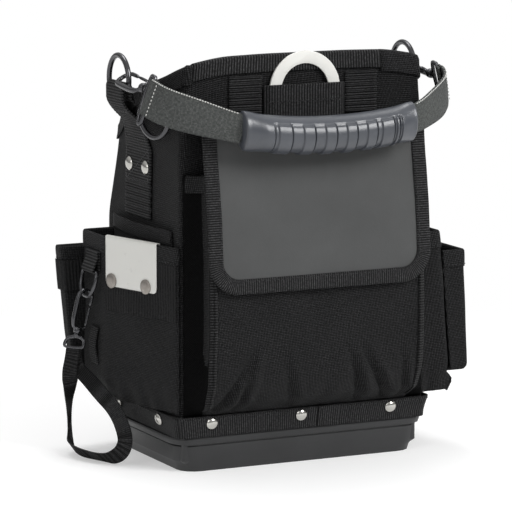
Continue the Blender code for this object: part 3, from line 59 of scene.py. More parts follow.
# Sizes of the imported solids, in metres
HALF_W = 0.1195
FACE_Y = -0.0785
HALF_D = 0.0785
FOOT_Z = 0.0313
LEAN_Z = 0.277
REAR_TOP_Z = 0.290
FRONT_EDGE_Z = 0.3535
CROWN_H = 0.0070
FLARE = 0.0185
FLARE_SPAN_Z = 0.057
CORNER_R = 0.0045
CLOTH_T = 0.0022
WEB_T = 0.0018
SEAT = 0.0003
POCKET_FOOT_Z = 0.0525
FLARE_TABLE = (
    (0.0, -0.31), (0.107, -0.15), (0.214, 0.05), (0.30, 0.22), (0.393, 0.47),
    (0.52, 0.85), (0.646, 1.0), (0.745, 0.9), (0.844, 0.62), (0.92, 0.3), (1.0, 0.0),
)
SIDE_TOP_TABLE = (
    (0.0, 1.0), (0.107, 0.92), (0.214, 0.82), (0.393, 0.69), (0.52, 0.565), (0.646, 0.432),
    (0.745, 0.315), (0.844, 0.197), (0.92, 0.09), (1.0, 0.0),
)
CROWN_TABLE = (
    (-1.0, 0.0), (-0.85, 0.5), (-0.7, 0.86), (-0.35, 1.0), (0.0, 1.0),
    (0.35, 1.0), (0.7, 0.86), (0.85, 0.5), (1.0, 0.0),
)
REAR_TABLE = ((0.211, 0.0), (0.277, 0.0235), (0.290, 0.0285))
PANEL_TABLE = (
    (0.0506, 0.0), (0.0536, 0.0), (0.0603, 0.60), (0.080, 0.90), (0.1301, 1.0), (0.190, 0.965),
    (0.250, 0.69), (0.262, 0.63),
)
PANEL_BULGE = 0.0288
HANG_TABLE = (
    (0.0, 0.0), (0.11, 0.20), (0.22, 0.35), (0.40, 0.60), (0.57, 0.74),
    (0.75, 0.87), (0.88, 0.955), (1.0, 1.0),
)
HANG_OFF = 0.0232
HANG_BULGE = 0.0128
FLAP_FOLD_Z = 0.2751
FLAP_LOW_Z = 0.1605
FLAP_HALF_W = 0.107

# Values that many pieces share
SIDES = ((-1, "left"), (1, "right"))
MIDDLE = (0, 0, 0.15)
SAME_POINT = 1e-6
TINY = 1e-9
WHITE = (1.0, 1.0, 1.0, 1.0)
LOOKS = {}


def table_value(table, x):
    """Value at x of a table of pairs, with straight runs between them."""
    if x <= table[0][0]:
        return table[0][1]
    for (x0, y0), (x1, y1) in zip(table, table[1:]):
        if x <= x1:
            return y0 + (y1 - y0) * (x - x0) / (x1 - x0)
    return table[-1][1]


def smooth_value(table, x, reach):
    """Table value rounded over a reach on both sides of x."""
    marks = (-1.0, -0.5, 0.0, 0.5, 1.0)
    return sum(table_value(table, x + m * reach) for m in marks) / len(marks)


def mix(a, b, share):
    """Point or number between a and b."""
    return a * (1 - share) + b * share


def between(rows, share):
    """Numbers of a table's rows at a share of its length."""
    place = share * (len(rows) - 1)
    i = min(int(place), len(rows) - 2)
    return [mix(a, b, place - i) for a, b in zip(rows[i], rows[i + 1])]


def ease(x):
    """Soft step from 0 to 1."""
    x = min(max(x, 0.0), 1.0)
    return x * x * (3 - 2 * x)


def groove(x, width):
    """Soft line at x = 0, from 0 to 1."""
    return math.exp(-(x / width) ** 2)


def rear_y(z):
    """Outer face of the rear wall at a height."""
    return HALF_D - smooth_value(REAR_TABLE, z, 0.006)


def wall_x(span, z):
    """Outboard distance of a side wall at a share of its depth and a height."""
    rise = max(z - LEAN_Z, 0.0) / FLARE_SPAN_Z
    return HALF_W + FLARE * rise * table_value(FLARE_TABLE, span)


def wall_at(y, z):
    """Outboard distance of a side wall at a place along the depth and a height."""
    return wall_x((y - FACE_Y) / (rear_y(z) - FACE_Y), z)


def panel_y(z):
    """Outer face of the front pocket's panel at a height."""
    return FACE_Y - SEAT - CLOTH_T - PANEL_BULGE * smooth_value(PANEL_TABLE, z, 0.004)


def flap_y(z):
    """Outer face of the hanging flap at a height."""
    share = (FLAP_FOLD_Z - z) / (FLAP_FOLD_Z - FLAP_LOW_Z)
    return FACE_Y - HANG_OFF - HANG_BULGE * smooth_value(HANG_TABLE, share, 0.03)


def sway(x, y, z, scale, seed):
    """Slow, fixed unevenness of cloth, from -1 to 1."""
    return noise.noise(Vector((x / scale + seed, y / scale, z / scale)))


def on_curve(points, share):
    """Point of a rounded curve through points, at a share of their count."""
    last = len(points) - 1
    place = min(max(share, 0.0), 1.0) * last
    i = min(int(place), last - 1)
    t = place - i
    a, b, c, d = (Vector(points[min(max(k, 0), last)]) for k in (i - 1, i, i + 1, i + 2))
    second, third = 2 * a - 5 * b + 4 * c - d, 3 * b - a - 3 * c + d
    return 0.5 * (2 * b + (c - a) * t + second * t * t + third * t ** 3)


def lengths(points):
    """Running length along a row of points."""
    total = [0.0]
    for a, b in zip(points, points[1:]):
        total.append(total[-1] + (b - a).length)
    return total


def add_object(name, data):
    """New object in the scene."""
    made = bpy.data.objects.new(name, data)
    bpy.context.scene.collection.objects.link(made)
    return made


def keep(name, bm, look, slot, replaces=(), thick=0.0, levels=0, offset=-1.0, body="pouch"):
    """Finished piece: its mesh, material, modifiers, body and the solids it stands for."""
    mesh = bpy.data.meshes.new(name)
    bm.to_mesh(mesh)
    bm.free()
    for face in mesh.polygons:
        face.use_smooth = True
    piece = add_object(name, mesh)
    mesh.materials.append(LOOKS[look])
    if thick:
        wall = piece.modifiers.new("Wall", "SOLIDIFY")
        wall.thickness = thick
        wall.offset = offset
        wall.use_even_offset = False
    if levels:
        rounding = piece.modifiers.new("Rounding", "SUBSURF")
        rounding.levels = levels
        rounding.render_levels = levels
    if replaces:
        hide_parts(*replaces)
    if body:
        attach(piece, body)
    return piece


def turn_over(bm, wrong):
    """Turn all faces round where they look the wrong way."""
    if wrong:
        bmesh.ops.reverse_faces(bm, faces=bm.faces[:])


def grid(columns, rows, place, inside=None, around=False):
    """Grid whose points place(u, v) sets, unrolled in metres for its weave."""
    bm = bmesh.new()
    bmesh.ops.create_grid(bm, x_segments=columns, y_segments=rows, size=0.5)
    across = lengths([place(k / columns, 0.5) for k in range(columns + 1)])
    along = lengths([place(0.5, k / rows) for k in range(rows + 1)])
    layer = bm.loops.layers.uv.new("UVMap")
    for face in bm.faces:
        for corner in face.loops:
            u, v = corner.vert.co.x + 0.5, corner.vert.co.y + 0.5
            corner[layer].uv = (across[round(u * columns)], along[round(v * rows)])
    for vert in bm.verts:
        vert.co = place(vert.co.x + 0.5, vert.co.y + 0.5)
    if around:
        bmesh.ops.remove_doubles(bm, verts=bm.verts[:], dist=SAME_POINT)
    bm.normal_update()
    if inside is not None:
        middle = Vector(inside)
        turn_over(bm, sum(face.normal.dot(face.calc_center_median() - middle) for face in bm.faces) < 0)
    elif around:
        bmesh.ops.recalc_face_normals(bm, faces=bm.faces[:])
    return bm


def patch(name, columns, rows, place, look, slot, replaces=(), inside=MIDDLE, around=False, **values):
    """Sheet of cloth or webbing with a thickness towards the pouch."""
    return keep(name, grid(columns, rows, place, inside, around), look, slot, replaces, **values)


def dressed(node, look, body, slot, levels=0, bevel=0.0, angle=35, swell=0.0):
    """Copy of a rigid solid with its faces joined, its edges eased and its finish."""
    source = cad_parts[node]
    bm = bmesh.new()
    bm.from_mesh(source.data)
    bm.transform(source.matrix_world)
    bmesh.ops.remove_doubles(bm, verts=bm.verts[:], dist=SAME_POINT)
    bmesh.ops.dissolve_limit(bm, angle_limit=math.radians(1), verts=bm.verts[:], edges=bm.edges[:])
    bm.normal_update()
    if swell:
        for vert, way in [(v, v.normal.copy()) for v in bm.verts]:
            vert.co += way * swell
    if bevel:
        sharp = [e for e in bm.edges if len(e.link_faces) == 2 and e.calc_face_angle() > math.radians(angle)]
        bmesh.ops.bevel(
            bm, geom=sharp, offset=bevel, offset_type="OFFSET", affect="EDGES",
            segments=2, profile=0.5, material=-1, clamp_overlap=True,
        )
    layer = bm.loops.layers.uv.verify()
    for face in bm.faces:
        sizes = [abs(n) for n in face.normal]
        first, second = ((1, 2), (0, 2), (0, 1))[sizes.index(max(sizes))]
        for corner in face.loops:
            corner[layer].uv = (corner.vert.co[first], corner.vert.co[second])
    piece = keep(f"{node}_finish", bm, look, slot, (node,), levels=levels, body=body)
    piece.data.set_sharp_from_angle(angle=math.radians(angle))


def baked(piece):
    """Make a piece's modifiers part of its mesh."""
    graph = bpy.context.evaluated_depsgraph_get()
    mesh = bpy.data.meshes.new_from_object(piece.evaluated_get(graph))
    piece.modifiers.clear()
    piece.data = mesh


def stitches(name, runs, look="seam_thread", slot="webbing", body="pouch", length=0.0026, pitch=0.0038,
             width=0.0005):
    """Rows of thread: each run is a list of points with the outward direction at each."""
    bm = bmesh.new()
    layer = bm.loops.layers.uv.verify()
    for run in runs:
        points = [Vector(p) for p, out in run]
        outs = [Vector(out).normalized() for p, out in run]
        marks = lengths(points)
        for k in range(max(1, int(marks[-1] / pitch))):
            ends = []
            for at in ((k + 0.5) * pitch - length / 2, (k + 0.5) * pitch + length / 2):
                at = min(at, marks[-1])
                i = next(j for j in range(len(points) - 1) if at <= marks[j + 1] + TINY)
                share = (at - marks[i]) / max(marks[i + 1] - marks[i], TINY)
                ends.append((mix(points[i], points[i + 1], share), mix(outs[i], outs[i + 1], share)))
            a, b = (point for point, out in ends)
            out = ends[0][1].normalized()
            ahead = (b - a).normalized()
            side = out.cross(ahead).normalized()
            turn = Matrix((ahead, side, out)).transposed().to_4x4()
            place = Matrix.Translation((a + b) / 2 + out * width * 0.35) @ turn
            size = Matrix.Diagonal(((b - a).length / 2, width, width * 0.8, 1))
            bmesh.ops.create_icosphere(bm, subdivisions=1, radius=1.0, matrix=place @ size)
    for face in bm.faces:
        for corner in face.loops:
            corner[layer].uv = (corner.vert.co.x + corner.vert.co.y, corner.vert.co.z)
    keep(name, bm, look, slot, body=body)


def make_node(tree, kind, **values):
    """Shader node with its settings, and with inputs set or linked by name."""
    made = tree.nodes.new(kind)
    for key, value in values.items():
        if hasattr(made, key) and key not in made.inputs:
            setattr(made, key, value)
            continue
        slot = made.inputs[int(key[1:])] if key[0] == "_" else made.inputs[key.replace("_", " ")]
        if isinstance(value, bpy.types.NodeSocket):
            tree.links.new(value, slot)
        else:
            slot.default_value = value
    return made


def math_node(tree, operation, a, b):
    """Result of one sum on two values."""
    return make_node(tree, "ShaderNodeMath", operation=operation, _0=a, _1=b).outputs[0]


def ramp(tree, value, low, high):
    """Value between two limits spread from 0 to 1."""
    made = make_node(tree, "ShaderNodeMapRange", Value=value, From_Min=low, From_Max=high)
    return made.outputs["Result"]


def tones(tree, share, dark, light, blend="MIX"):
    """Colour between two tones, or their product."""
    made = make_node(tree, "ShaderNodeMix", data_type="RGBA", blend_type=blend, _0=share, _6=dark, _7=light)
    return made.outputs[2]


def clouds(tree, place, scale, detail, rough=0.5):
    """Noise at a scale, from 0 to 1."""
    made = make_node(tree, "ShaderNodeTexNoise", Vector=place, Scale=scale, Detail=detail, Roughness=rough)
    return made.outputs["Fac"]


def bands(tree, place, pitch, direction="X"):
    """Soft ridges across one direction at a pitch, from 0 to 1."""
    scale = math.pi / 10 / pitch
    made = make_node(tree, "ShaderNodeTexWave", bands_direction=direction, Vector=place, Scale=scale)
    return made.outputs["Fac"]


def shaded(color, factor=1.0):
    """Colour made lighter or darker, with its alpha."""
    return (*(min(c * factor, 1.0) for c in color[:3]), 1.0)


def joined(tree, kind, first, second, **values):
    """Two shaders added or mixed."""
    made = make_node(tree, kind, **values)
    tree.links.new(first, made.inputs[-2])
    tree.links.new(second, made.inputs[-1])
    return made.outputs[0]


def plain_look(name, color, roughness, metallic=0.0, **sockets):
    """New material with its shader's own constants set."""
    made = bpy.data.materials.new(name)
    made.use_nodes = True
    tree = made.node_tree
    shader = tree.nodes["Principled BSDF"]
    sockets.update(Base_Color=shaded(color), Roughness=roughness, Metallic=metallic)
    for key, value in sockets.items():
        shader.inputs[key.replace("_", " ")].default_value = value
    made.diffuse_color = shaded(color)
    return made, tree, shader


def surface(tree, shader, tone, gloss, height, strength, relief):
    """Link a look's colour, roughness and relief to its shader."""
    bump = make_node(tree, "ShaderNodeBump", Height=height, Strength=strength, Distance=relief)
    for socket, value in (("Base Color", tone), ("Roughness", gloss), ("Normal", bump.outputs["Normal"])):
        tree.links.new(value, shader.inputs[socket])


def woven_look(name, color, pitch, turn=0.0, ribs=0.0, way="X", contrast=2.6, relief=0.00045, sheen=0.03,
               fade=1.35, gloss=0.10, depth=0.30):
    """Woven cloth or webbing: crossing threads, optional ribs, uneven tone and worn high spots; thread crowns
    painted lighter as highlight and gaps painted darker as shade.
    """
    made, tree, shader = plain_look(
        name, color, 0.86, Sheen_Weight=sheen, Sheen_Roughness=0.45, Specular_IOR_Level=gloss,
    )
    source = make_node(tree, "ShaderNodeTexCoord")
    solid = source.outputs["Object"]
    unrolled = source.outputs["UV"]
    flat, place = (
        make_node(tree, "ShaderNodeMapping", Vector=unrolled, Rotation=(0, 0, angle)).outputs["Vector"]
        for angle in (0.0, math.radians(turn))
    )
    first = bands(tree, place, pitch, "X")
    second = bands(tree, place, pitch * 0.92, "Y")
    both = math_node(tree, "MULTIPLY", first, second)
    neither = math_node(
        tree, "MULTIPLY", math_node(tree, "SUBTRACT", 1.0, first), math_node(tree, "SUBTRACT", 1.0, second),
    )
    height = math_node(tree, "ADD", both, neither)
    if ribs:
        ridge = math_node(tree, "MULTIPLY", bands(tree, flat, ribs, way), 0.75)
        height = math_node(tree, "ADD", math_node(tree, "MULTIPLY", height, 0.35), ridge)
    cloud = clouds(tree, solid, 28.0, 4.0, 0.6)
    fibre = clouds(tree, solid, 900.0, 2.0)
    patchy = clouds(tree, place, 500.0, 1.0, 0.4)
    # Tone follows the weave's height: painted highlight on thread crowns and painted shade in the gaps,
    # broken by random fibre and patch tone
    light = math_node(tree, "MULTIPLY", ramp(tree, height, 0.30, 0.90), ramp(tree, fibre, -0.10, 0.65))
    light = math_node(tree, "MULTIPLY", light, ramp(tree, patchy, 0.05, 0.70))
    worn = tones(tree, ramp(tree, cloud, 0.35, 0.75), WHITE, (fade, fade, fade * 0.99, 1.0))
    # Gaps get the dark tone as painted shade, crowns the light tone as painted highlight
    thread = tones(tree, light, shaded(color, depth), shaded(color, contrast))
    tone = tones(tree, 1.0, thread, worn, blend="MULTIPLY")
    surface(tree, shader, tone, ramp(tree, cloud, -1.2, 1.2), height, 0.85, relief)
    return made


def grained_look(name, color, rough, grain, relief, spread, gloss):
    """Coated cloth, rubber, thread or moulded plastic: fine grain, uneven gloss and faint scuffs."""
    made, tree, shader = plain_look(name, color, rough, Specular_IOR_Level=gloss)
    solid = make_node(tree, "ShaderNodeTexCoord").outputs["Object"]
    pores = make_node(tree, "ShaderNodeTexVoronoi", Vector=solid, Scale=1.0 / grain, feature="SMOOTH_F1")
    cloud = clouds(tree, solid, 22.0, 5.0, 0.62)
    fine = clouds(tree, solid, 600.0, 3.0)
    tone = tones(tree, ramp(tree, cloud, 0.3, 0.75), shaded(color, 0.88), shaded(color, spread))
    uneven = math_node(tree, "ADD", ramp(tree, fine, -3.0, 5.0), rough - 0.44)
    dents = math_node(tree, "MULTIPLY", pores.outputs["Distance"], 0.8)
    height = math_node(tree, "ADD", dents, math_node(tree, "MULTIPLY", fine, 0.4))
    surface(tree, shader, tone, uneven, height, 0.6, relief)
    return made


def metal_look(name, color, rough, metallic, worn, wear_from):
    """Plated or painted metal: cloudy gloss, fine scratches and worn spots of another tone."""
    made, tree, shader = plain_look(name, color, rough, metallic)
    solid = make_node(tree, "ShaderNodeTexCoord").outputs["Object"]
    stretch = make_node(tree, "ShaderNodeMapping", Vector=solid, Scale=(1.0, 14.0, 1.0)).outputs["Vector"]
    scratch = clouds(tree, stretch, 240.0, 3.0)
    cloud = clouds(tree, solid, 70.0, 5.0, 0.65)
    tone = tones(tree, ramp(tree, cloud, wear_from, wear_from + 0.12), shaded(color), shaded(worn))
    uneven = math_node(tree, "MULTIPLY", math_node(tree, "ADD", scratch, 0.5), rough)
    surface(tree, shader, tone, uneven, scratch, 0.15, 0.0001)
    return made


def floor_look():
    """White floor that keeps the pouch's shadow and shows white to the camera."""
    made, tree, shader = plain_look("pale_floor", (0.80, 0.80, 0.80), 0.9)
    seen = make_node(tree, "ShaderNodeLightPath").outputs
    plain = math_node(tree, "MAXIMUM", seen["Is Camera Ray"], seen["Is Glossy Ray"])
    plain = math_node(tree, "MAXIMUM", plain, seen["Is Transmission Ray"])
    shadow = make_node(tree, "ShaderNodeBsdfDiffuse", Color=(0.70, 0.70, 0.70, 1.0)).outputs[0]
    lift, far = (
        make_node(tree, "ShaderNodeEmission", Color=WHITE, Strength=level).outputs[0]
        for level in (0.36, 1.0)
    )
    near = joined(tree, "ShaderNodeAddShader", shadow, lift)
    place = make_node(tree, "ShaderNodeTexCoord").outputs["Object"]
    away = make_node(tree, "ShaderNodeVectorMath", operation="LENGTH", _0=place).outputs["Value"]
    white = joined(tree, "ShaderNodeMixShader", near, far, _0=ramp(tree, away, 0.35, 0.75))
    both = joined(tree, "ShaderNodeMixShader", shader.outputs[0], white, _0=plain)
    out = next(n for n in tree.nodes if n.type == "OUTPUT_MATERIAL")
    tree.links.new(both, out.inputs["Surface"])
    return made


def make_looks(settings):
    """All materials of the pouch, from the colours in the panel."""
    cloth, webbing, pale = settings.cloth_color, settings.webbing_color, settings.pale_color
    weave, ribs = settings.weave_pitch, settings.rib_pitch
    for key, name, color, factor, threads, values in (
        ("cloth", "ballistic_cloth", cloth, 1.0, 1.0, dict(turn=40, contrast=5.2, relief=0.0009)),
        # Gusset cloth at 0.30 of the cloth's colour is painted shade for the shadowed bellows sides
        ("fold", "gusset_painted_shade_cloth", cloth, 0.30, 1.0, dict(contrast=3.0, sheen=0.0, gloss=0.04)),
        ("twill", "twill_panel", cloth, 1.1, 1.1, dict(turn=38, contrast=5.0, relief=0.0006)),
        ("webbing_x", "webbing_ribs_across", webbing, 1.0, 0.6, dict(ribs=ribs, contrast=4.6, relief=0.0007)),
        ("webbing_y", "webbing_ribs_along", webbing, 1.0, 0.6,
         dict(ribs=ribs, way="Y", contrast=4.6, relief=0.0007)),
        ("binding", "edge_binding", webbing, 1.0, 0.55, dict(ribs=0.0021, contrast=4.6, relief=0.0006)),
        ("edge", "seam_binding", webbing, 0.85, 0.5, dict(ribs=0.0024, way="Y", contrast=4.2, relief=0.0007)),
        ("webbing_plain", "ribbed_panel", webbing, 1.0, 0.6, dict(contrast=3.6, relief=0.0004)),
        ("tape", "tape_ribs", webbing, 1.0, 0.5, dict(ribs=0.0019, way="Y", contrast=3.8, relief=0.0006)),
        ("strap", "strap_twill", settings.strap_color, 1.0, 0.72,
         dict(turn=32, contrast=2.5, relief=0.0005, fade=1.15, depth=0.35)),
    ):
        LOOKS[key] = woven_look(name, shaded(color, factor), weave * threads, **values)
    for key, name, *values in (
        ("flap", "coated_flap", settings.flap_color, 0.62, 0.0011, 0.00010, 1.08, 0.35),
        ("rubber", "grip_rubber", settings.grip_color, 0.33, 0.0016, 0.00006, 1.2, 0.75),
        ("base", "moulded_base", settings.base_color, 0.46, 0.0009, 0.00012, 1.3, 0.5),
        ("board", "floor_board", (0.02, 0.02, 0.021), 0.6, 0.0012, 0.0001, 1.3, 0.5),
        ("thread", "dark_thread", (0.075, 0.075, 0.077), 0.8, 0.0004, 0.0001, 1.4, 0.5),
        ("seam_thread", "black_thread", (0.016, 0.016, 0.017), 0.8, 0.0004, 0.0001, 1.4, 0.5),
        ("pale_thread", "pale_thread", (0.55, 0.55, 0.53), 0.8, 0.0004, 0.0001, 1.2, 0.5),
    ):
        LOOKS[key] = grained_look(name, *values)
    for key, name, *values in (
        ("dark_metal", "gunmetal_plate", settings.dark_metal_color, 0.24, 0.9, (0.30, 0.30, 0.31), 0.62),
        ("plate_rivet", "plate_rivet_metal", (0.30, 0.275, 0.25), 0.42, 0.85, (0.42, 0.39, 0.36), 0.55),
        ("bright_metal", "nickel_rivet", (0.52, 0.51, 0.48), 0.20, 1.0, (0.30, 0.29, 0.28), 0.6),
        ("pale", "pale_enamel", pale, 0.45, 0.0, shaded(pale, 0.86), 0.62),
        ("plate", "clip_plate_steel", shaded(pale, 0.98), 0.42, 0.25, shaded(pale, 0.8), 0.6),
    ):
        LOOKS[key] = metal_look(name, *values)


def body_stations():
    """Places round the body: the wall, the share along it and the turn inside a rounded corner."""
    fronts = [mix(-0.955, 0.955, k / 32) for k in range(33)]
    spans = [mix(0.035, 0.965, k / 28) for k in range(29)]
    turns = [math.pi / 2 * k / 4 for k in range(1, 4)]
    places = []
    for wall, shares, corner, side in (
        ("front", fronts, "front_right", 1), ("right", spans, "rear_right", 1),
        ("rear", fronts[::-1], "rear_left", -1), ("left", spans[::-1], "front_left", -1),
    ):
        places += [(wall, s, 0.0) for s in shares]
        places += [(corner, side, a if side > 0 else math.pi / 2 - a) for a in turns]
    return places


STATIONS = body_stations()
SAG_REAR, SAG_WALL = 0.0038, 0.0010
BODY_ROWS = 56


def station_point(place, z):
    """Outer face of the body at one place round it and a height."""
    wall, share, turn = place
    rear = rear_y(z)
    if wall == "front":
        return Vector((share * wall_x(0.0, z), FACE_Y, z))
    if wall == "rear":
        return Vector((share * wall_x(1.0, z), rear, z))
    if wall in ("left", "right"):
        side = 1 if wall == "right" else -1
        return Vector((side * wall_x(share, z), mix(FACE_Y, rear, share), z))
    over, level = CORNER_R * math.sin(turn), CORNER_R * math.cos(turn)
    if wall.startswith("front"):
        return Vector((share * (wall_x(0.0, z) - CORNER_R + over), FACE_Y + CORNER_R - level, z))
    return Vector((share * (wall_x(1.0, z) - CORNER_R + level), rear - CORNER_R + over, z))


def station_top(place):
    """Height of the body's top edge at one place round it."""
    wall, share = place[:2]
    if wall == "front":
        return FRONT_EDGE_Z + CROWN_H * smooth_value(CROWN_TABLE, share, 0.06)
    if wall in ("left", "right"):
        return mix(REAR_TOP_Z, FRONT_EDGE_Z, smooth_value(SIDE_TOP_TABLE, share, 0.03))
    return FRONT_EDGE_Z if wall.startswith("front") else REAR_TOP_Z


def station_out(k, z):
    """Level outward direction of the body at a place round it."""
    n = len(STATIONS)
    ahead = station_point(STATIONS[(k + 1) % n], z) - station_point(STATIONS[(k - 1) % n], z)
    return Vector((ahead.y, -ahead.x, 0)).normalized()


def make_body(settings):
    """The body's cloth: one shell of four walls that lean, flare and sag."""
    n = len(STATIONS)

    def place(u, v):
        k = round(u * n) % n
        spot = STATIONS[k]
        z = mix(FOOT_Z, station_top(spot), v)
        point = station_point(spot, z)
        free = ease(v / 0.12) * ease((1 - v) / 0.10)
        deepest = SAG_REAR if spot[0] == "rear" else SAG_WALL
        share = 0.5 + 0.5 * sway(point.x, point.y, z, 0.055, 3.1)
        return point - station_out(k, z) * (settings.sag * deepest * free * share)

    patch("body_cloth", n, BODY_ROWS, place, "cloth", "cloth",
          ("front_wall", "left_wall", "right_wall", "rear_wall"), thick=CLOTH_T, levels=1, around=True)


# Edge pieces in section: outward distance in metres and share of the height
RIM_SECTION = (
    (0.0018, -1.0), (0.0021, -0.86), (0.0019, -0.45), (0.0020, -0.04), (0.0012, 0.10), (-0.0011, 0.16),
    (-0.0034, 0.10), (-0.0042, -0.04), (-0.0041, -0.45), (-0.0043, -0.86), (-0.0039, -1.0),
)
RIM_RIGHT, RIM_RIGHT_END = 27, 45
RIM_LEFT = len(STATIONS) - 14
RIM_T = 0.0013
FRAY = 0.00025


def rim_run(name, first, last, look, height, slot, replaces=(), lift=0.0):
    """Edge piece folded over the body's top edge between two places round it."""
    def place(u, v):
        k = (first + round(u * (last - first))) % len(STATIONS)
        spot = STATIONS[k]
        top = station_top(spot)
        out_by, rise = between(RIM_SECTION, v)
        out_by += lift * (1 if out_by > -0.001 else -1)
        z = top + rise * height + (lift if rise > 0 else 0.0)
        base = station_point(spot, min(z, top))
        fray = FRAY * sway(base.x, base.y, z, 0.004, 8.0)
        base.z = z
        return base + station_out(k, min(z, top)) * (out_by + fray)

    bm = grid(last - first, 30, place)
    turn_over(bm, bm.faces[:][0].normal.dot(station_out(first, 0.3)) < 0)
    keep(name, bm, look, slot, replaces, thick=RIM_T)


def make_rims():
    """Webbing on the tall front edge, plain corner pieces and bound side and rear edges."""
    rim_run("rim_webbing", 0, RIM_RIGHT, "webbing_x", 0.0130, "webbing", ("rim_front",), lift=0.0004)
    rim_run("rim_corner_right", RIM_RIGHT, RIM_RIGHT_END, "twill", 0.0165, "cloth")
    rim_run("rim_corner_left", RIM_LEFT, len(STATIONS), "twill", 0.0150, "cloth")
    rim_run("rim_side_binding", RIM_RIGHT_END, RIM_LEFT, "binding", 0.0110, "binding")


def make_front_strips():
    """Two strips of webbing whose raised ribs run level."""
    width, low, top, ribs, rib_h, sheet_t = 0.031, 0.3085, 0.3445, 13, 0.0013, 0.0007
    for middle, word in ((-0.0573, "left"), (0.0545, "right")):
        def place(u, v):
            rib = 0.5 + 0.5 * math.cos(2 * math.pi * (v * ribs + 0.5))
            y = FACE_Y - SEAT - sheet_t - rib_h * rib
            return Vector((middle + (u - 0.5) * width, y, mix(low, top, v)))

        patch(f"strip_{word}_ribs", 12, 8 * ribs, place, "webbing_y", "webbing", (f"strip_{word}",),
              thick=sheet_t)


KEEPER_W = 0.0784
KEEPER_X = -0.0014
KEEPER_LOW, KEEPER_TOP = 0.3067, 0.3355
KEEPER_RISE = 0.0044
KEEPER_SEAM_Z = 0.3212
ZIGZAG, ZIGZAG_STEP = 0.0016, 0.0028


def keeper_y(x):
    """Outer face of the keeper across its width, which stands off the wall between its seams."""
    return FACE_Y - SEAT - WEB_T - 0.0004 - KEEPER_RISE * ease((KEEPER_W / 2 - abs(x)) / 0.0055)


def make_keeper():
    """Webbing over the hanging ring, with its thicker top edge and its zigzag seam."""
    def place(u, v):
        x = (u - 0.5) * KEEPER_W
        z = mix(KEEPER_LOW, KEEPER_TOP, v)
        return Vector((x + KEEPER_X, keeper_y(x) - 0.0006 * ease((z - 0.3335) / 0.0015), z))

    patch("keeper_webbing", 48, 20, place, "webbing_x", "webbing", ("keeper",), thick=WEB_T)
    run = []
    for k in range(27):
        x = -0.0375 + ZIGZAG_STEP * k
        z = KEEPER_SEAM_Z + (ZIGZAG if k % 2 else -ZIGZAG)
        run.append(((x, keeper_y(x - KEEPER_X) - 0.0001, z), (0, -1, 0)))
    stitches("keeper_stitches", [run], pitch=0.0030)


POCKET_LOW, POCKET_TOP = 0.0506, 0.262
GUSSET_X = 0.1165
GUSSET_SHARE = 0.13
PANEL_HALF = 0.102
PANEL_EDGE_R = 0.0022
BELLOWS_IN = 0.0070
SEAM_Z = 0.0515
WAVE_DEPTH, GATHER_DEPTH, CREASE_DEPTH = 0.0026, 0.0022, 0.0062
# Creases above the pocket's lower seam: place across, tilt, width and size
CREASES = (
    (-0.088, 0.55, 0.0042, 1.0), (-0.071, 0.20, 0.0036, 0.8), (-0.020, -0.30, 0.0040, 0.5),
    (0.046, -0.35, 0.0040, 0.9), (0.071, -0.62, 0.0042, 1.0), (0.090, -0.20, 0.0030, 0.6),
)


def pocket_half(z):
    """Half width of the front pocket's panel, drawn in a little where it is sewn down."""
    return PANEL_HALF - 0.0035 * ease((0.066 - z) / 0.014)


def gusset_x(edge, z):
    """Outboard distance of the bellows' side, folded inward, at a share of its depth and a height."""
    deep = ease(edge) * 0.25 + edge * 0.75
    x = mix(GUSSET_X, pocket_half(z) + PANEL_EDGE_R, min(deep * 1.02, 1.0))
    return x - BELLOWS_IN * math.sin(math.pi * min(edge, 1.0)) * ease((z - 0.065) / 0.05)


def creased(x, z):
    """Depth of the creases at a place of the front pocket, as a share of the deepest."""
    total = 0.0
    for middle, tilt, wide, size in CREASES:
        off = (x - middle - tilt * (z - 0.060)) / wide
        total += size * (groove(off, 1.0) - 0.55 * groove(off - 2.0, 1.3))
    return total * ease((0.118 - z) / 0.05) * ease((z - SEAM_Z) / 0.006)


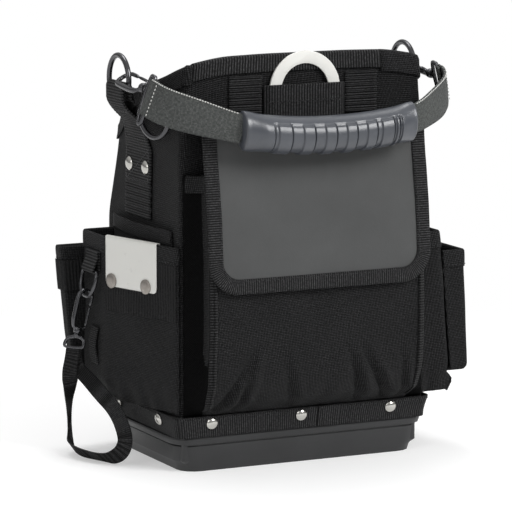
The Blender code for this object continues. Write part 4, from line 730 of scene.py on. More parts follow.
def make_front_pocket(settings):
    """The front pocket: bellows sides and a bulging panel in one sheet that sags, the bellows sides painted
    darker as shade.
    """
    back = FACE_Y - SEAT - 0.0004

    def place(u, v):
        z = mix(POCKET_LOW, POCKET_TOP, v)
        front = panel_y(z)
        reach = pocket_half(z) + PANEL_EDGE_R
        side = 1 if u > 0.5 else -1
        edge = min(u, 1 - u) / GUSSET_SHARE
        if edge < 1:
            x, y = gusset_x(edge, z), mix(back, front + PANEL_EDGE_R, edge)
        else:
            share = (min(u, 1 - u) - GUSSET_SHARE) / (0.5 - GUSSET_SHARE)
            turn = min(share / 0.035, 1.0)
            x = mix(reach, 0.0, share)
            if turn < 1:
                x = reach - PANEL_EDGE_R * (1 - math.cos(turn * math.pi / 2)) - 0.0038 * turn
            y = front + PANEL_EDGE_R * (1 - math.sin(turn * math.pi / 2))
        x *= side
        free = ease(v / 0.10) * ease((1 - v) / 0.06)
        wave = 0.5 + 0.5 * sway(x, 0.0, z, 0.042, 1.7)
        folds = 0.5 + 0.5 * math.sin(x * 190 + 2.4 * sway(x, 0, z, 0.05, 5))
        gather = ease((0.095 - z) / 0.04) * ease((z - SEAM_Z) / 0.006)
        room = min(1.0, (back - y) / 0.012)
        into = WAVE_DEPTH * settings.sag * wave * free + GATHER_DEPTH * folds * gather
        return Vector((x, y + room * (into + CREASE_DEPTH * creased(x, z)), z))

    piece = patch("front_pocket_cloth", 150, 76, place, "cloth", "cloth",
                  ("pocket_front", "pocket_gusset_left", "pocket_gusset_right"), thick=0.0018)
    # Bellows side faces beyond the panel's edge get the darker gusset cloth: painted shade
    piece.data.materials.append(LOOKS["fold"])
    for face in piece.data.polygons:
        if abs(face.center.x) > pocket_half(face.center.z) + 0.0012:
            face.material_index = 1
    for side, word in SIDES:
        def seam(u, v):
            share = 0.5 + side * (0.5 - GUSSET_SHARE) * (1 - mix(-0.012, 0.062, u))
            spot = place(share, mix(0.02, 0.985, v))
            return spot + Vector((0, -0.0007 - 0.0005 * math.sin(math.pi * u), 0))

        patch(f"pocket_edge_{word}", 10, 90, seam, "edge", "webbing", thick=0.0011)

    for side, word in SIDES:
        def hem(u, v):
            z = mix(0.2465, 0.2615, v)
            y = mix(FACE_Y - 0.0016, panel_y(z) + 0.0030, u)
            edge = (y - FACE_Y) / (panel_y(z) + PANEL_EDGE_R - FACE_Y)
            return Vector((side * (gusset_x(edge, z) + 0.0011), y, z))

        patch(f"gusset_hem_{word}", 14, 8, hem, "twill", "cloth", thick=0.0009)


# Flap in section, from its seam over the roll: place along the depth and height
FLAP_PATH = (
    (-0.0790, 0.3056), (-0.0850, 0.3060), (-0.0915, 0.3056), (-0.0965, 0.3030), (-0.0990, 0.2970),
    (-0.1003, 0.2880), (-0.1012, 0.2800),
)
# Binding in section: distance inward from the flap's edge and lift off its face
BINDING_SECTION = (
    (0.0132, -0.0002), (0.0127, 0.0006), (0.0090, 0.0009), (0.0040, 0.0010), (0.0006, 0.0007),
    (-0.0003, -0.0008), (0.0006, -0.0026), (0.0050, -0.0030), (0.0127, -0.0029),
)
FLAP_CORNER_R = 0.029
FACE_INSET, FACE_SHORT = 0.0012, 0.0008
FLAP_SOFT, FLAP_PAD, FLAP_SUNK = 0.0012, 0.0010, 0.0008
FLAP_SEAM_IN = 0.0112


def flap_points():
    """Outer line of the flap from its seam over the roll and down to its edge."""
    points = [Vector((0, y, z)) for y, z in FLAP_PATH]
    points += [Vector((0, flap_y(z), z)) for z in (mix(0.2735, FLAP_LOW_Z, k / 24) for k in range(25))]
    return [on_curve(points, k / 160) for k in range(161)]


FLAP_LINE = flap_points()
FLAP_MARKS = lengths(FLAP_LINE)
FLAP_L = FLAP_MARKS[-1]


def flap_place(x, run, lift):
    """Point of the flap at a distance from the middle, a run from the seam and a lift off its face."""
    run = min(max(run, 0.0), FLAP_L)
    i = next(k for k in range(1, len(FLAP_MARKS)) if run <= FLAP_MARKS[k] + TINY)
    share = (run - FLAP_MARKS[i - 1]) / (FLAP_MARKS[i] - FLAP_MARKS[i - 1])
    point = mix(FLAP_LINE[i - 1], FLAP_LINE[i], share)
    ahead = (FLAP_LINE[i] - FLAP_LINE[i - 1]).normalized()
    out = Vector((0, ahead.z, -ahead.y))
    if out.y > 0 and run > 0.02:
        out = -out
    return Vector((x, point.y, point.z)) + out * lift


def flap_edge(t):
    """Edge of the flap in its flat cut at a share t: across, run and the inward direction."""
    if t > 0.5:
        x, run, (inward, down) = flap_edge(1 - t)
        return -x, run, (-inward, down)
    straight = FLAP_L - FLAP_CORNER_R
    arc = math.pi / 2 * FLAP_CORNER_R
    level = 2 * (FLAP_HALF_W - FLAP_CORNER_R)
    d = t * (2 * straight + 2 * arc + level)
    if d < straight:
        return -FLAP_HALF_W, d, (1, 0)
    a = min((d - straight) / FLAP_CORNER_R, math.pi / 2)
    x = -FLAP_HALF_W + FLAP_CORNER_R * (1 - math.cos(a)) + max(d - straight - arc, 0.0)
    return x, straight + FLAP_CORNER_R * math.sin(a), (math.cos(a), -math.sin(a))


def fold_over(piece):
    """Make a finished piece of the flap's modifiers and placement part of its mesh."""
    baked(piece)
    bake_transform(piece)


def make_flap(settings):
    """The grey coated flap: face, bound edge and its row of stitches, following its line from the seam over
    the roll.
    """
    def face(u, v):
        run = v * (FLAP_L - FACE_SHORT)
        over = max(run - (FLAP_L - FLAP_CORNER_R), 0.0)
        half = FLAP_HALF_W - FLAP_CORNER_R + math.sqrt(max(FLAP_CORNER_R ** 2 - over ** 2, 0.0))
        x = (2 * u - 1) * (half - FACE_INSET)
        soft = FLAP_SOFT * settings.sag * sway(x, 0, run, 0.07, 12.0) * ease(run / 0.03)
        pad = FLAP_PAD * ease((FLAP_HALF_W - abs(x) - 0.012) / 0.02) * ease((FLAP_L - run - 0.012) / 0.02)
        return flap_place(x, run, min(soft, 0.0002) + pad - FLAP_SUNK)

    def binding(u, v):
        x, run, inward = flap_edge(u)
        across, lift = between(BINDING_SECTION, v)
        lift += 0.0001 * sway(x, run, across, 0.004, 4)
        return flap_place(x + inward[0] * across, run + inward[1] * across, lift)

    flap = patch("flap_face", 72, 64, face, "flap", "flap_face", ("flap_root", "flap_lower"),
                 thick=0.0015, body=None)
    fold_over(flap)
    bm = grid(190, 16, binding)
    turn_over(bm, sum(f.normal.y for f in bm.faces if f.calc_center_median().y < -0.104) > 0)
    edge = keep("flap_edge_binding", bm, "binding", "binding", ("flap_binding",), thick=0.0006, body=None)
    fold_over(edge)
    run_points = []
    for k in range(121):
        x, run, inward = flap_edge(mix(0.10, 0.90, k / 120))
        spot = flap_place(x + inward[0] * FLAP_SEAM_IN, run + inward[1] * FLAP_SEAM_IN, 0.0009)
        if spot.z < 0.262:
            run_points.append((spot, (0, -1, -0.1)))
    stitches("flap_stitches", [run_points], slot="binding", body="flap")


def rounded(points, radius, steps=5):
    """Plan outline with its inner corners rounded."""
    made = [points[0]]
    for before, here, after in zip(points, points[1:], points[2:]):
        reach_in = min(radius, (here - before).length * 0.45)
        reach_out = min(radius, (after - here).length * 0.45)
        start = here + (before - here).normalized() * reach_in
        end = here + (after - here).normalized() * reach_out
        for k in range(steps + 1):
            t = k / steps
            made.append((1 - t) ** 2 * start + 2 * t * (1 - t) * here + t * t * end)
    return made + [points[-1]]


def along(points, share):
    """Point and outward direction at a share of an outline's length."""
    marks = lengths(points)
    at = share * marks[-1]
    i = next((k for k in range(1, len(marks)) if at <= marks[k] + TINY), len(marks) - 1)
    t = (at - marks[i - 1]) / max(marks[i] - marks[i - 1], TINY)
    ahead = (points[i] - points[i - 1]).normalized()
    return mix(points[i - 1], points[i], t), Vector((ahead.y, -ahead.x))


def pocket(name, side, outline, low, top, node, columns=70, radius=0.006, hem=0.015, bulge=0.0012, seed=1.0,
           tuck=0.0, stiff=1.0, gather=0.0016):
    """Side pocket: an open shell that sags between its seams, with a hem folded over its mouth."""
    # Hem in section: outward distance and height from the mouth
    section = (
        (0.0008, -hem), (0.0011, -hem * 0.5), (0.0010, -0.0010), (0.0001, 0.0004), (-0.0016, 0.0004),
        (-0.0026, -0.0010), (-0.0028, -hem * 0.8),
    )

    def point(u, z, off):
        spot, out = along(rounded(outline(z), radius), u)
        seam = ease(min(u, 1 - u) / 0.06)
        free = ease((z - low) / 0.02) * ease((min(top, stiff) - z) / 0.02)
        wave = sway(spot.x * 1.3, spot.y, z, 0.045, seed)
        folds = math.sin(spot.y * 230 + spot.x * 170 + 2.0 * sway(spot.x, spot.y, z, 0.03, seed + 4))
        pull = ease((low + 0.030 - z) / 0.028)
        shift = bulge * wave * free - gather * (0.5 + 0.5 * folds) * pull - tuck * pull * pull
        spot = spot + out * (shift * seam + off)
        return Vector((side * spot.x, spot.y, z))

    def wall(u, v):
        return point(u, mix(low, top - 0.0012, v), -0.0002)

    def floor(u, v):
        edge = point(u, low + 0.0006, -0.0010)
        return Vector((mix(edge.x, side * min(abs(edge.x), HALF_W + 0.0004), v), edge.y, edge.z))

    def fold(u, v):
        off, rise = between(section, v)
        z = top + rise - 0.0006
        made = point(u, min(z, top), off)
        made.z = z
        return made

    def size(face):
        middle = face.calc_center_median()
        return abs(middle.x) if middle.z < top - hem * 0.3 else 0.0

    half_up = mix(low, top, 0.5)
    middle = along(rounded(outline(half_up), radius), 0.5)[0]
    patch(name, columns, 44, wall, "cloth", "cloth", (node,),
          inside=(side * (HALF_W + 0.002), middle.y, half_up), thick=0.0018)
    patch(f"{name}_floor", columns, 6, floor, "cloth", "cloth",
          inside=(middle.x * side, middle.y, half_up), thick=0.0009)
    bm = grid(columns, 14, fold)
    turn_over(bm, max(bm.faces, key=size).normal.x * side < 0)
    keep(f"{name}_hem", bm, "twill", "cloth", thick=0.0007)
    row = []
    for k in range(61):
        u = mix(0.03, 0.97, k / 60)
        z = top - (hem - 0.0016)
        here = point(u, z, 0.0012)
        ahead = point(min(u + 0.01, 1), z, 0.0012) - here
        out = Vector((ahead.y, -ahead.x, 0)) * side
        if out.x * side < 0 and abs(out.x) > abs(out.y):
            out = -out
        row.append((here, out if out.length > TINY else (side, 0, 0)))
    stitches(f"{name}_stitches", [row], slot="cloth")
    return point


SEWN_X = 0.1199


def left_outline(z):
    """Plan outline of the large left pocket at a height, on the positive side."""
    out = 0.150 - 0.006 * ease((0.075 - z) / 0.025)
    return [Vector(p) for p in (
        (SEWN_X, -0.0783), (0.1222, -0.0783), (out, 0.013), (out, 0.0637), (SEWN_X, 0.0637),
    )]


def left_rear_outline(z):
    """Plan outline of the narrow pocket at the left rear."""
    table = ((0.0, 0.38), (0.08, 0.70), (0.38, 0.85), (0.70, 0.93), (1.0, 1.0))
    out = mix(SEWN_X, 0.170, smooth_value(table, (z - POCKET_FOOT_Z) / 0.1315, 0.06))
    return [Vector(p) for p in ((SEWN_X, 0.0646), (out, 0.0646), (out, 0.0782), (SEWN_X, 0.0782))]


def right_out(z):
    """Outboard reach of the large right pocket at a height."""
    lean = mix(0.149, 0.136, (z - POCKET_FOOT_Z) / 0.1455)
    return lean + 0.0065 * ease((0.070 - z) / 0.008) - 0.004 * ease((0.058 - z) / 0.006)


def right_outline(z):
    """Plan outline of the large right pocket."""
    out = right_out(z)
    return [Vector(p) for p in ((0.1172, -0.0781), (out, -0.0783), (out, 0.052), (SEWN_X, 0.0652))]


def outer_outline(z):
    """Plan outline of the small pocket on the large right one."""
    out = mix(0.167, 0.161, (z - 0.062) / 0.1175)
    base = right_out(max(z, 0.0705)) + 0.0004
    out -= 0.0045 * (1 - math.sqrt(max(0.0, 1 - max(0.0, (0.0760 - z) / 0.006) ** 2)))
    return [Vector(p) for p in ((base, -0.0778), (out, -0.0778), (out, -0.0262), (base, -0.0262))]


UPPER_LOW, UPPER_TALL, UPPER_BOW = 0.0625, 0.149, 0.0062


def upper_place(low, top, front, rear, off):
    """Sheet of the flat upper pocket between two heights, bowed away from the left wall."""
    def place(u, v):
        z = mix(low, top, v)
        bow = UPPER_BOW * math.sin(math.pi * u) * mix(0.25, 1.0, ease((z - UPPER_LOW) / UPPER_TALL))
        return Vector((-(HALF_W + SEAT + off + bow), mix(front, rear, u), z))

    return place


def ribbed(name, point, first, last, low, high, count):
    """Panel of webbing with upright ribs on a side pocket's wall."""
    def place(u, v):
        rib = 0.0008 + 0.00035 * math.cos(2 * math.pi * u * count)
        return point(mix(first, last, u), mix(low, high, v), rib)

    patch(name, count * 6, 12, place, "webbing_plain", "webbing", thick=0.0009)


def make_side_pockets():
    """Four side pockets, the flat upper pocket on the left wall, ribbed panels and a small loop."""
    left_point = pocket("left_pocket_cloth", -1, left_outline, POCKET_FOOT_Z, 0.1990, "left_side_pocket",
                        columns=96, seed=2.0, tuck=0.002, stiff=0.160, bulge=0.0018)
    rear_point = pocket("left_rear_cloth", -1, left_rear_outline, POCKET_FOOT_Z, 0.184, "left_rear_pocket",
                        radius=0.003, hem=0.013, bulge=0.0005, seed=5.0)
    pocket("right_pocket_cloth", 1, right_outline, POCKET_FOOT_Z, 0.198, "right_side_pocket",
           columns=96, seed=7.0, tuck=0.003, gather=0.0026, bulge=0.0018)
    pocket("right_outer_cloth", 1, outer_outline, 0.0702, 0.1795, "right_outer_pocket",
           radius=0.004, seed=9.0, bulge=0.0009, gather=0.0010)
    place = upper_place(UPPER_LOW, UPPER_LOW + UPPER_TALL, -0.066, 0.058, 0.0015)
    patch("left_upper_cloth", 40, 40, place, "cloth", "cloth", ("left_upper_pocket",), thick=0.0012)
    place = upper_place(0.1995, 0.2122, -0.0655, 0.0575, 0.0025)
    patch("left_upper_hem", 40, 8, place, "twill", "cloth", thick=0.0011)
    ribbed("left_pocket_ribs", left_point, 0.016, 0.545, 0.1340, 0.1855, 27)
    ribbed("left_rear_ribs", rear_point, 0.02, 0.55, 0.1440, 0.1715, 18)

    def loop(u, v):
        bow = math.sin(math.pi * v)
        y, z = mix(0.0255, 0.0400, u) + 0.002 * bow, mix(0.0820, 0.1160, v)
        return Vector((-(0.1512 + 0.0022 * bow), y, z))

    patch("left_pocket_loop", 10, 24, loop, "tape", "webbing", thick=0.0011)


BAND_TABLE = ((0.0, 0.0), (0.25, 0.08), (0.6, 0.45), (1.0, 1.0))
BAND_COUNT = 168
BAND_R = 0.009
BAND_MIDDLE = (0, 0, 0.03)
BAND_BEND = 0.12
BAND_SEAM_Z = 0.0478
LAP_SHARE = 0.147 / 0.254 / 4


def band_point(u, z, lift):
    """Point of the band at a share round it, a height and a lift off its face."""
    flare = table_value(BAND_TABLE, (z - FOOT_Z) / 0.0187)
    w = HALF_W + 0.0024 + 0.0030 * flare + lift
    d = HALF_D + 0.0022 + 0.0028 * flare + lift
    quarter = BAND_COUNT / 4
    t = (u * BAND_COUNT) % BAND_COUNT
    k = int(t // quarter)
    share = (t - k * quarter) / quarter
    corners = [Vector((x * w, y * d)) for x, y in ((-1, -1), (1, -1), (1, 1), (-1, 1))]
    a, b = corners[k], corners[(k + 1) % 4]
    ahead = (b - a).normalized()
    out = Vector((ahead.y, -ahead.x))
    corner, way, rest = (a, 1, share) if share < 0.5 else (b, -1, 1 - share)
    if rest < BAND_BEND:
        turn = math.pi / 4 * (1 + rest / BAND_BEND)
        centre = corner + ahead * BAND_R * way - out * BAND_R
        spot = centre + (out * math.sin(turn) - ahead * math.cos(turn) * way) * BAND_R
    else:
        spot = mix(a + ahead * BAND_R, b - ahead * BAND_R, (share - BAND_BEND) / (1 - 2 * BAND_BEND))
    wave = 0.0008 * sway(spot.x, spot.y, z, 0.03, 6.0) * ease((z - 0.036) / 0.01)
    return Vector((spot.x + out.x * wave, spot.y + out.y * wave, z))


def make_band():
    """Band sewn round the lower edge, flaring at its top, with its turned edge, seam and lap."""
    def place(u, v):
        return band_point(u, mix(0.0315, 0.0500, v), 0.0)

    def top_edge(u, v):
        turn = math.pi * v
        return band_point(u, 0.0496 + 0.0009 * math.sin(turn), 0.0008 * math.cos(turn) - 0.0007)

    def lap(u, v):
        base = band_point(LAP_SHARE, mix(0.0316, 0.0499, v), 0.0009)
        return Vector((mix(0.0120, 0.0330, u), base.y, base.z))

    patch("band_cloth", BAND_COUNT, 12, place, "binding", "webbing", ("band",),
          inside=BAND_MIDDLE, around=True, thick=WEB_T)
    patch("band_top_edge", BAND_COUNT, 6, top_edge, "cloth", "cloth",
          inside=BAND_MIDDLE, around=True, thick=0.0005)
    run = []
    for k in range(BAND_COUNT + 1):
        low, here, high = (band_point(k / BAND_COUNT, BAND_SEAM_Z, lift) for lift in (0.0, 0.0002, 0.001))
        run.append((here, high - low))
    stitches("band_stitches", [run], length=0.003, pitch=0.0042)
    patch("band_lap", 12, 12, lap, "binding", "webbing", thick=0.0006, inside=(0.02, 0, 0.04))


def make_base():
    """Moulded tub and its board, with their edges eased, and every rivet."""
    dressed("base_tub", "base", "pouch", "moulded_base", bevel=0.0006, angle=30)
    dressed("bottom_board", "board", "pouch", "board", bevel=0.0005)
    for node in sorted(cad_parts):
        if "rivet" in node:
            make_rivet(node)


# Rivet head in section: shares of its radius and of its height
RIVET_SECTION = (
    (0.0, 1.0), (0.22, 0.98), (0.42, 0.90), (0.60, 0.76), (0.76, 0.55), (0.88, 0.32), (0.96, 0.12),
    (1.0, 0.0), (1.0, -0.5),
)


def make_rivet(node):
    """Domed rivet head turned about the solid's own axis."""
    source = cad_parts[node]
    turn = source.matrix_world
    points = [turn @ v.co for v in source.data.vertices]
    middle = sum(points, Vector()) / len(points)
    areas = {}
    for face in source.data.polygons:
        way = (turn.to_3x3() @ face.normal).normalized()
        key = tuple(round(c, 2) for c in way)
        areas[key] = areas.get(key, 0.0) + face.area
    out = Vector((middle.x, middle.y, 0))
    ways = [key for key in areas if Vector(key).dot(out) > 0.1 * out.length]
    axis = Vector(max(ways, key=lambda key: areas[key])).normalized()
    reach = [(p - middle).dot(axis) for p in points]
    radius = max(((p - middle) - axis * (p - middle).dot(axis)).length for p in points)
    rise, height, dome, look = 0.0, max(reach) - min(reach), 0.42, "bright_metal"
    if node.startswith("plate"):
        rise, height, dome, look = 0.0016, 0.0011, 0.22, "plate_rivet"
    foot = middle + axis * (min(reach) + rise)
    height = max(height, radius * dome)
    across = axis.orthogonal().normalized()
    up = axis.cross(across)

    def place(u, v):
        r, h = between(RIVET_SECTION, v)
        a = 2 * math.pi * u
        return foot + across * r * radius * math.cos(a) + up * r * radius * math.sin(a) + axis * h * height

    bm = grid(32, 24, place, around=True)
    turn_over(bm, sum(f.normal.dot(axis) * f.calc_area() for f in bm.faces) < 0)
    keep(f"{node}_head", bm, look, "nickel", (node,))


TAB_BAR = (0.140, 0.3315)
TAB_TURN_R = 0.0050
TAB_FOOT_Z, TAB_RIBS_Z, TAB_NECK_Z, TAB_BEND_Z = 0.216, 0.2465, 0.2765, 0.300
TAB_WIDE, TAB_NARROW, TAB_INSIDE = 0.0268, 0.0172, 0.0165
TAB_RIB_H, TAB_RIB_PITCH = 0.0005, 0.0033
# Heights and shares across of the tab's seams
TAB_LOW, TAB_MID, TAB_UP, TAB_TOP, TAB_BOX = 0.2475, 0.2770, 0.2850, 0.3100, 0.3130
TAB_NEAR, TAB_FAR = 0.07, 0.93


def tab_line():
    """Tab's outer line: up the wall, round the ring's bar and down inside, close where it has ribs."""
    marks = [("wall", mix(0.2165, 0.3215, k / 28)) for k in range(29)]
    marks += [("turn", math.pi * k / 16) for k in range(17)]
    marks += [("inside", mix(0.3225, 0.2870, k / 8)) for k in range(9)]
    dense = []
    for (mark, a), (after, b) in zip(marks, marks[1:]):
        steps = 6 if mark == "wall" and a < TAB_RIBS_Z else 1
        dense += [(mark, mix(a, b, k / steps) if mark == after else a) for k in range(steps)]
    return dense + [marks[-1]]


def tab_point(side, u, mark, value, lift=0.0):
    """Point of the tab at a share of its width and a mark on its line."""
    z = value if mark != "turn" else TAB_BAR[1]
    middle = mix(0.0060, 0.0020, ease((z - TAB_FOOT_Z) / 0.11))
    neck = min(max((z - TAB_NECK_Z) / 0.040, 0.0), 1.0)
    half = mix(TAB_WIDE, TAB_NARROW, neck) - 0.0012 * math.sin(math.pi * neck)
    if mark == "inside":
        half, middle = TAB_INSIDE, 0.0020
    y = middle + (2 * u - 1) * half
    if mark == "wall":
        x = wall_at(min(y, 0.045), z) + SEAT + 0.0017 + 0.0026 * ease((z - 0.296) / 0.012)
        x = mix(x, TAB_BAR[0] + TAB_TURN_R, ease((z - TAB_BEND_Z) / 0.0225))
        if z < TAB_RIBS_Z:
            lift += TAB_RIB_H * math.cos(2 * math.pi * (z - TAB_FOOT_Z) / TAB_RIB_PITCH)
    elif mark == "turn":
        x = TAB_BAR[0] + TAB_TURN_R * math.cos(value)
        z = TAB_BAR[1] + TAB_TURN_R * math.sin(value)
        lift = 0.0
    else:
        x = wall_at(y, z) - CLOTH_T - SEAT - 0.0018
        x -= 0.0028 * ease((z - TAB_BEND_Z) / 0.008)
        x = mix(x, TAB_BAR[0] - TAB_TURN_R, ease((z - 0.3095) / 0.0135))
    return Vector((side * (x + lift), y, z))


def make_tabs():
    """Webbing tabs that hold the D-rings, with their boxed and crossed seams."""
    line = tab_line()
    near, far = TAB_NEAR, TAB_FAR
    seams = (
        ((near, TAB_LOW), (far, TAB_LOW), (far, TAB_MID), (near, TAB_MID), (near, TAB_LOW)),
        ((far, TAB_LOW), (near, TAB_MID)), ((near, TAB_UP), (far, TAB_UP)),
        ((near, TAB_UP), (near, TAB_BOX)), ((far, TAB_UP), (far, TAB_BOX)),
        ((near, TAB_TOP), (far, TAB_TOP)),
    )
    for side, word in SIDES:
        def place(u, v):
            return tab_point(side, u, *line[round(v * (len(line) - 1))])

        def row(points, count=14):
            spots = [points[0]]
            for (u0, z0), (u1, z1) in zip(points, points[1:]):
                spots += [(mix(u0, u1, k / count), mix(z0, z1, k / count)) for k in range(1, count + 1)]
            return [(tab_point(side, u, "wall", z, 0.0002), (side, 0, 0)) for u, z in spots]

        bm = grid(18, len(line) - 1, place)
        middles = [(f, f.calc_center_median()) for f in bm.faces]
        turn_over(bm, sum(f.normal.x * side for f, m in middles if m.z < 0.28 and abs(m.x) > HALF_W) < 0)
        keep(f"tab_{word}_webbing", bm, "webbing_y", "webbing", (f"tab_{word}",), thick=0.0016)
        runs = [row(points) for points in seams]
        stitches(f"tab_{word}_stitches", runs, "thread", length=0.0025, pitch=0.0034)


WIRE_SWELL = 0.00028


def make_fittings():
    """Rings, hooks, gates and eyes, with their wires rounded, the hanging ring, plate and small tabs."""
    wires = []
    for word in ("left", "right"):
        wires += [(f"d_ring_{word}", f"ring_{word}"), (f"hook_{word}", f"hook_{word}")]
        wires += [(f"gate_{word}", f"gate_{word}"), (f"eye_{word}", "handle")]
    wires += [(node, node) for node in ("side_ring", "tape_ring", "tape_hook", "tape_gate", "tape_eye")]
    for node, body in wires:
        dressed(node, "dark_metal", body, "gunmetal", levels=2, angle=80, swell=WIRE_SWELL)
    dressed("hanging_ring", "pale", "hanger", "pale_metal", bevel=0.0006, angle=30)
    make_plate()
    for node in ("side_ring_tab", "tape_tab"):
        dressed(node, "webbing_y", "pouch", "webbing", bevel=0.0004, angle=20)


def make_plate():
    """Metal plate folded over the left pocket's mouth, plain, with softly turned edges."""
    start, along_face = Vector((-0.1222, -0.0783)), Vector((-0.0278, 0.0913)).normalized()
    outward = Vector((-along_face.y, along_face.x))
    near, far = 0.0241, 0.0917
    low, top, back, corner = 0.1560, 0.1993, 0.186, 0.0045
    off_face, off_back, rise = 0.0024, -0.0025, 0.0014
    run = [("face", k / 30) for k in range(31)]
    run += [("turn", k / 8) for k in range(1, 9)] + [("back", k / 8) for k in range(1, 9)]

    def place(u, v):
        part, share = run[round(v * (len(run) - 1))]
        s = mix(near, far, u)
        edge = min(s - near, far - s)
        foot = low + corner - math.sqrt(max(0.0, corner ** 2 - max(0.0, corner - edge) ** 2))
        if part == "face":
            z = mix(foot, top, share)
            rim = min(edge, z - foot)
            off = off_face - 0.0003 * (1 - ease(rim / 0.0012)) - 0.00012 * groove(rim - 0.0035, 0.0006)
        elif part == "turn":
            off = mix(off_back, off_face, 0.5 + 0.5 * math.cos(math.pi * share))
            z = top + rise * math.sin(math.pi * share)
        else:
            off, z = off_back, mix(top, back, share)
        spot = start + along_face * s + outward * off
        return Vector((spot.x, spot.y, z))

    bm = grid(72, len(run) - 1, place)
    face = max(bm.faces, key=lambda f: -f.calc_center_median().x - f.calc_center_median().y)
    turn_over(bm, face.normal.x > 0)
    keep("clip_plate_finish", bm, "plate", "pale_metal", ("clip_plate",), thick=0.0009)


# Strap from the eye to the grip: middle and share of its full height
STRAP_RUN = (
    (0.1425, -0.0660, 0.3290, 1.0), (0.1412, -0.0725, 0.3275, 1.0), (0.1370, -0.0812, 0.3243, 1.0),
    (0.1290, -0.0915, 0.3205, 0.99), (0.1190, -0.1010, 0.3168, 0.96), (0.1070, -0.1102, 0.3128, 0.90),
    (0.0940, -0.1185, 0.3085, 0.82), (0.0800, -0.1240, 0.3040, 0.76),
)
STRAP_HALF = 0.0160
STRAP_OFF = 0.0022
STRAP_SLACK, STRAP_CURL = 0.00176, 0.0010
LAP_REACH, LAP_BACK, LAP_ROUND = 0.02, 0.0046, 0.0034
EYE_BAR_UP = Vector((-0.30, -0.12, 0.946)).normalized()


def strap_middle(share):
    """Middle of the strap and its height share, from the eye to the grip."""
    points = [Vector(p[:3]) for p in STRAP_RUN]
    tall = [(k / (len(STRAP_RUN) - 1), p[3]) for k, p in enumerate(STRAP_RUN)]
    return on_curve(points, share), smooth_value(tall, share, 0.04)


def strap_frame(side, share):
    """Middle, upward and outward direction and height share of the strap at a share of its run."""
    here, tall = strap_middle(share)
    ahead = (strap_middle(min(share + 0.01, 1.0))[0] - strap_middle(max(share - 0.01, 0.0))[0]).normalized()
    lean = mix(EYE_BAR_UP, Vector((0, 0, 1)), ease(share / 0.45))
    up = (lean - ahead * lean.dot(ahead)).normalized()
    out = ahead.cross(up).normalized()
    if out.x < 0:
        out = -out
    flip = Vector((side, 1, 1))
    return here * flip, up * flip, out * flip, tall


def make_straps():
    """Light grey straps from the eyes into the grip, folded and stitched round the eye's bar."""
    for side, word in SIDES:
        def place(u, v):
            share = mix(-0.11, 1.0, u)
            here, up, out, tall = strap_frame(side, abs(share))
            off = STRAP_OFF - (LAP_BACK * ease(-share / 0.012 + 0.5) if share < 0.006 else 0.0)
            if abs(share) < LAP_REACH:
                back = strap_frame(side, 0.0)[0] - strap_frame(side, 0.05)[0]
                here = here + back.normalized() * LAP_ROUND * math.cos(abs(share) / LAP_REACH * math.pi / 2)
            slack = math.sin(math.pi * min(max(share, 0), 1))
            sag = STRAP_SLACK * slack * max(0.5 - v, 0.0)
            curl = STRAP_CURL * math.cos((v - 0.5) * math.pi) * slack
            return here + up * ((v - 0.5) * 2 * STRAP_HALF * tall - sag) + out * (off + curl)

        def thread(shares, heights, off, count):
            row = []
            for k in range(count + 1):
                here, up, out, tall = strap_frame(side, mix(*shares, k / count))
                row.append((here + up * (mix(*heights, k / count) * STRAP_HALF * tall) + out * off, out))
            return row

        patch(f"strap_{word}_webbing", 84, 16, place, "strap", "strap_webbing", (f"strap_{word}",),
              thick=0.0017, inside=(0, 0.02, 0.30), body="handle")
        across = thread((0.165, 0.165), (-0.97, 0.97), 0.0030, 12)
        edge = thread((0.02, 0.93), (0.965, 0.965), 0.0026, 49)
        stitches(f"strap_{word}_stitches", [across], "pale_thread", "strap_webbing", "handle",
                 length=0.0024, pitch=0.0033, width=0.0006)
        stitches(f"strap_{word}_edge", [edge], "pale_thread", "strap_webbing", "handle",
                 length=0.0021, pitch=0.0024, width=0.00065)


GRIP_HALF = 0.082
GRIP_R = 0.0161
GRIP_Y, GRIP_Z, GRIP_SAG = -0.124, 0.3034, 0.0073
GRIP_LINE = 0.00055
BAND_RISE, BAND_SINK, CUT_DEPTH = 0.0009, 0.0007, 0.0016
GRIP_BANDS = (
    (-0.0544, -0.0415), (-0.0307, -0.0198), (-0.0098, 0.0007), (0.0106, 0.0204), (0.0301, 0.0396),
    (0.0444, 0.0563), (0.0585, 0.0615),
)
GRIP_END_TABLE = (
    (0.0, 1.0), (0.78, 1.0), (0.86, 0.985), (0.92, 0.985), (0.985, 0.965), (0.995, 0.90), (1.0, 0.72),
)


def grip_radius(x, turn):
    """Radius of the grip: collars, a plain top and raised bands round its front and underside."""
    body = GRIP_R * table_value(GRIP_END_TABLE, abs(x) / GRIP_HALF)
    down = math.degrees(abs(turn - math.pi))
    under = ease((132 - down) / 14)
    raised = max(min(ease((x - low) / 0.0012), ease((high - x) / 0.0005)) for low, high in GRIP_BANDS)
    inner = ease((x + 0.0575) / 0.002) * ease((0.0645 - x) / 0.002)
    lines = sum(groove(x - high - 0.0007, GRIP_LINE) for low, high in GRIP_BANDS)
    ends = groove(x + 0.0572, GRIP_LINE) + groove(x - 0.0645, GRIP_LINE)
    top_line = groove(down - 126, 2.6)
    cut = CUT_DEPTH * min(lines * inner * under + ends * under + 0.7 * top_line * inner, 1.0)
    return body + under * inner * (BAND_RISE * raised - BAND_SINK * (1 - raised)) - cut


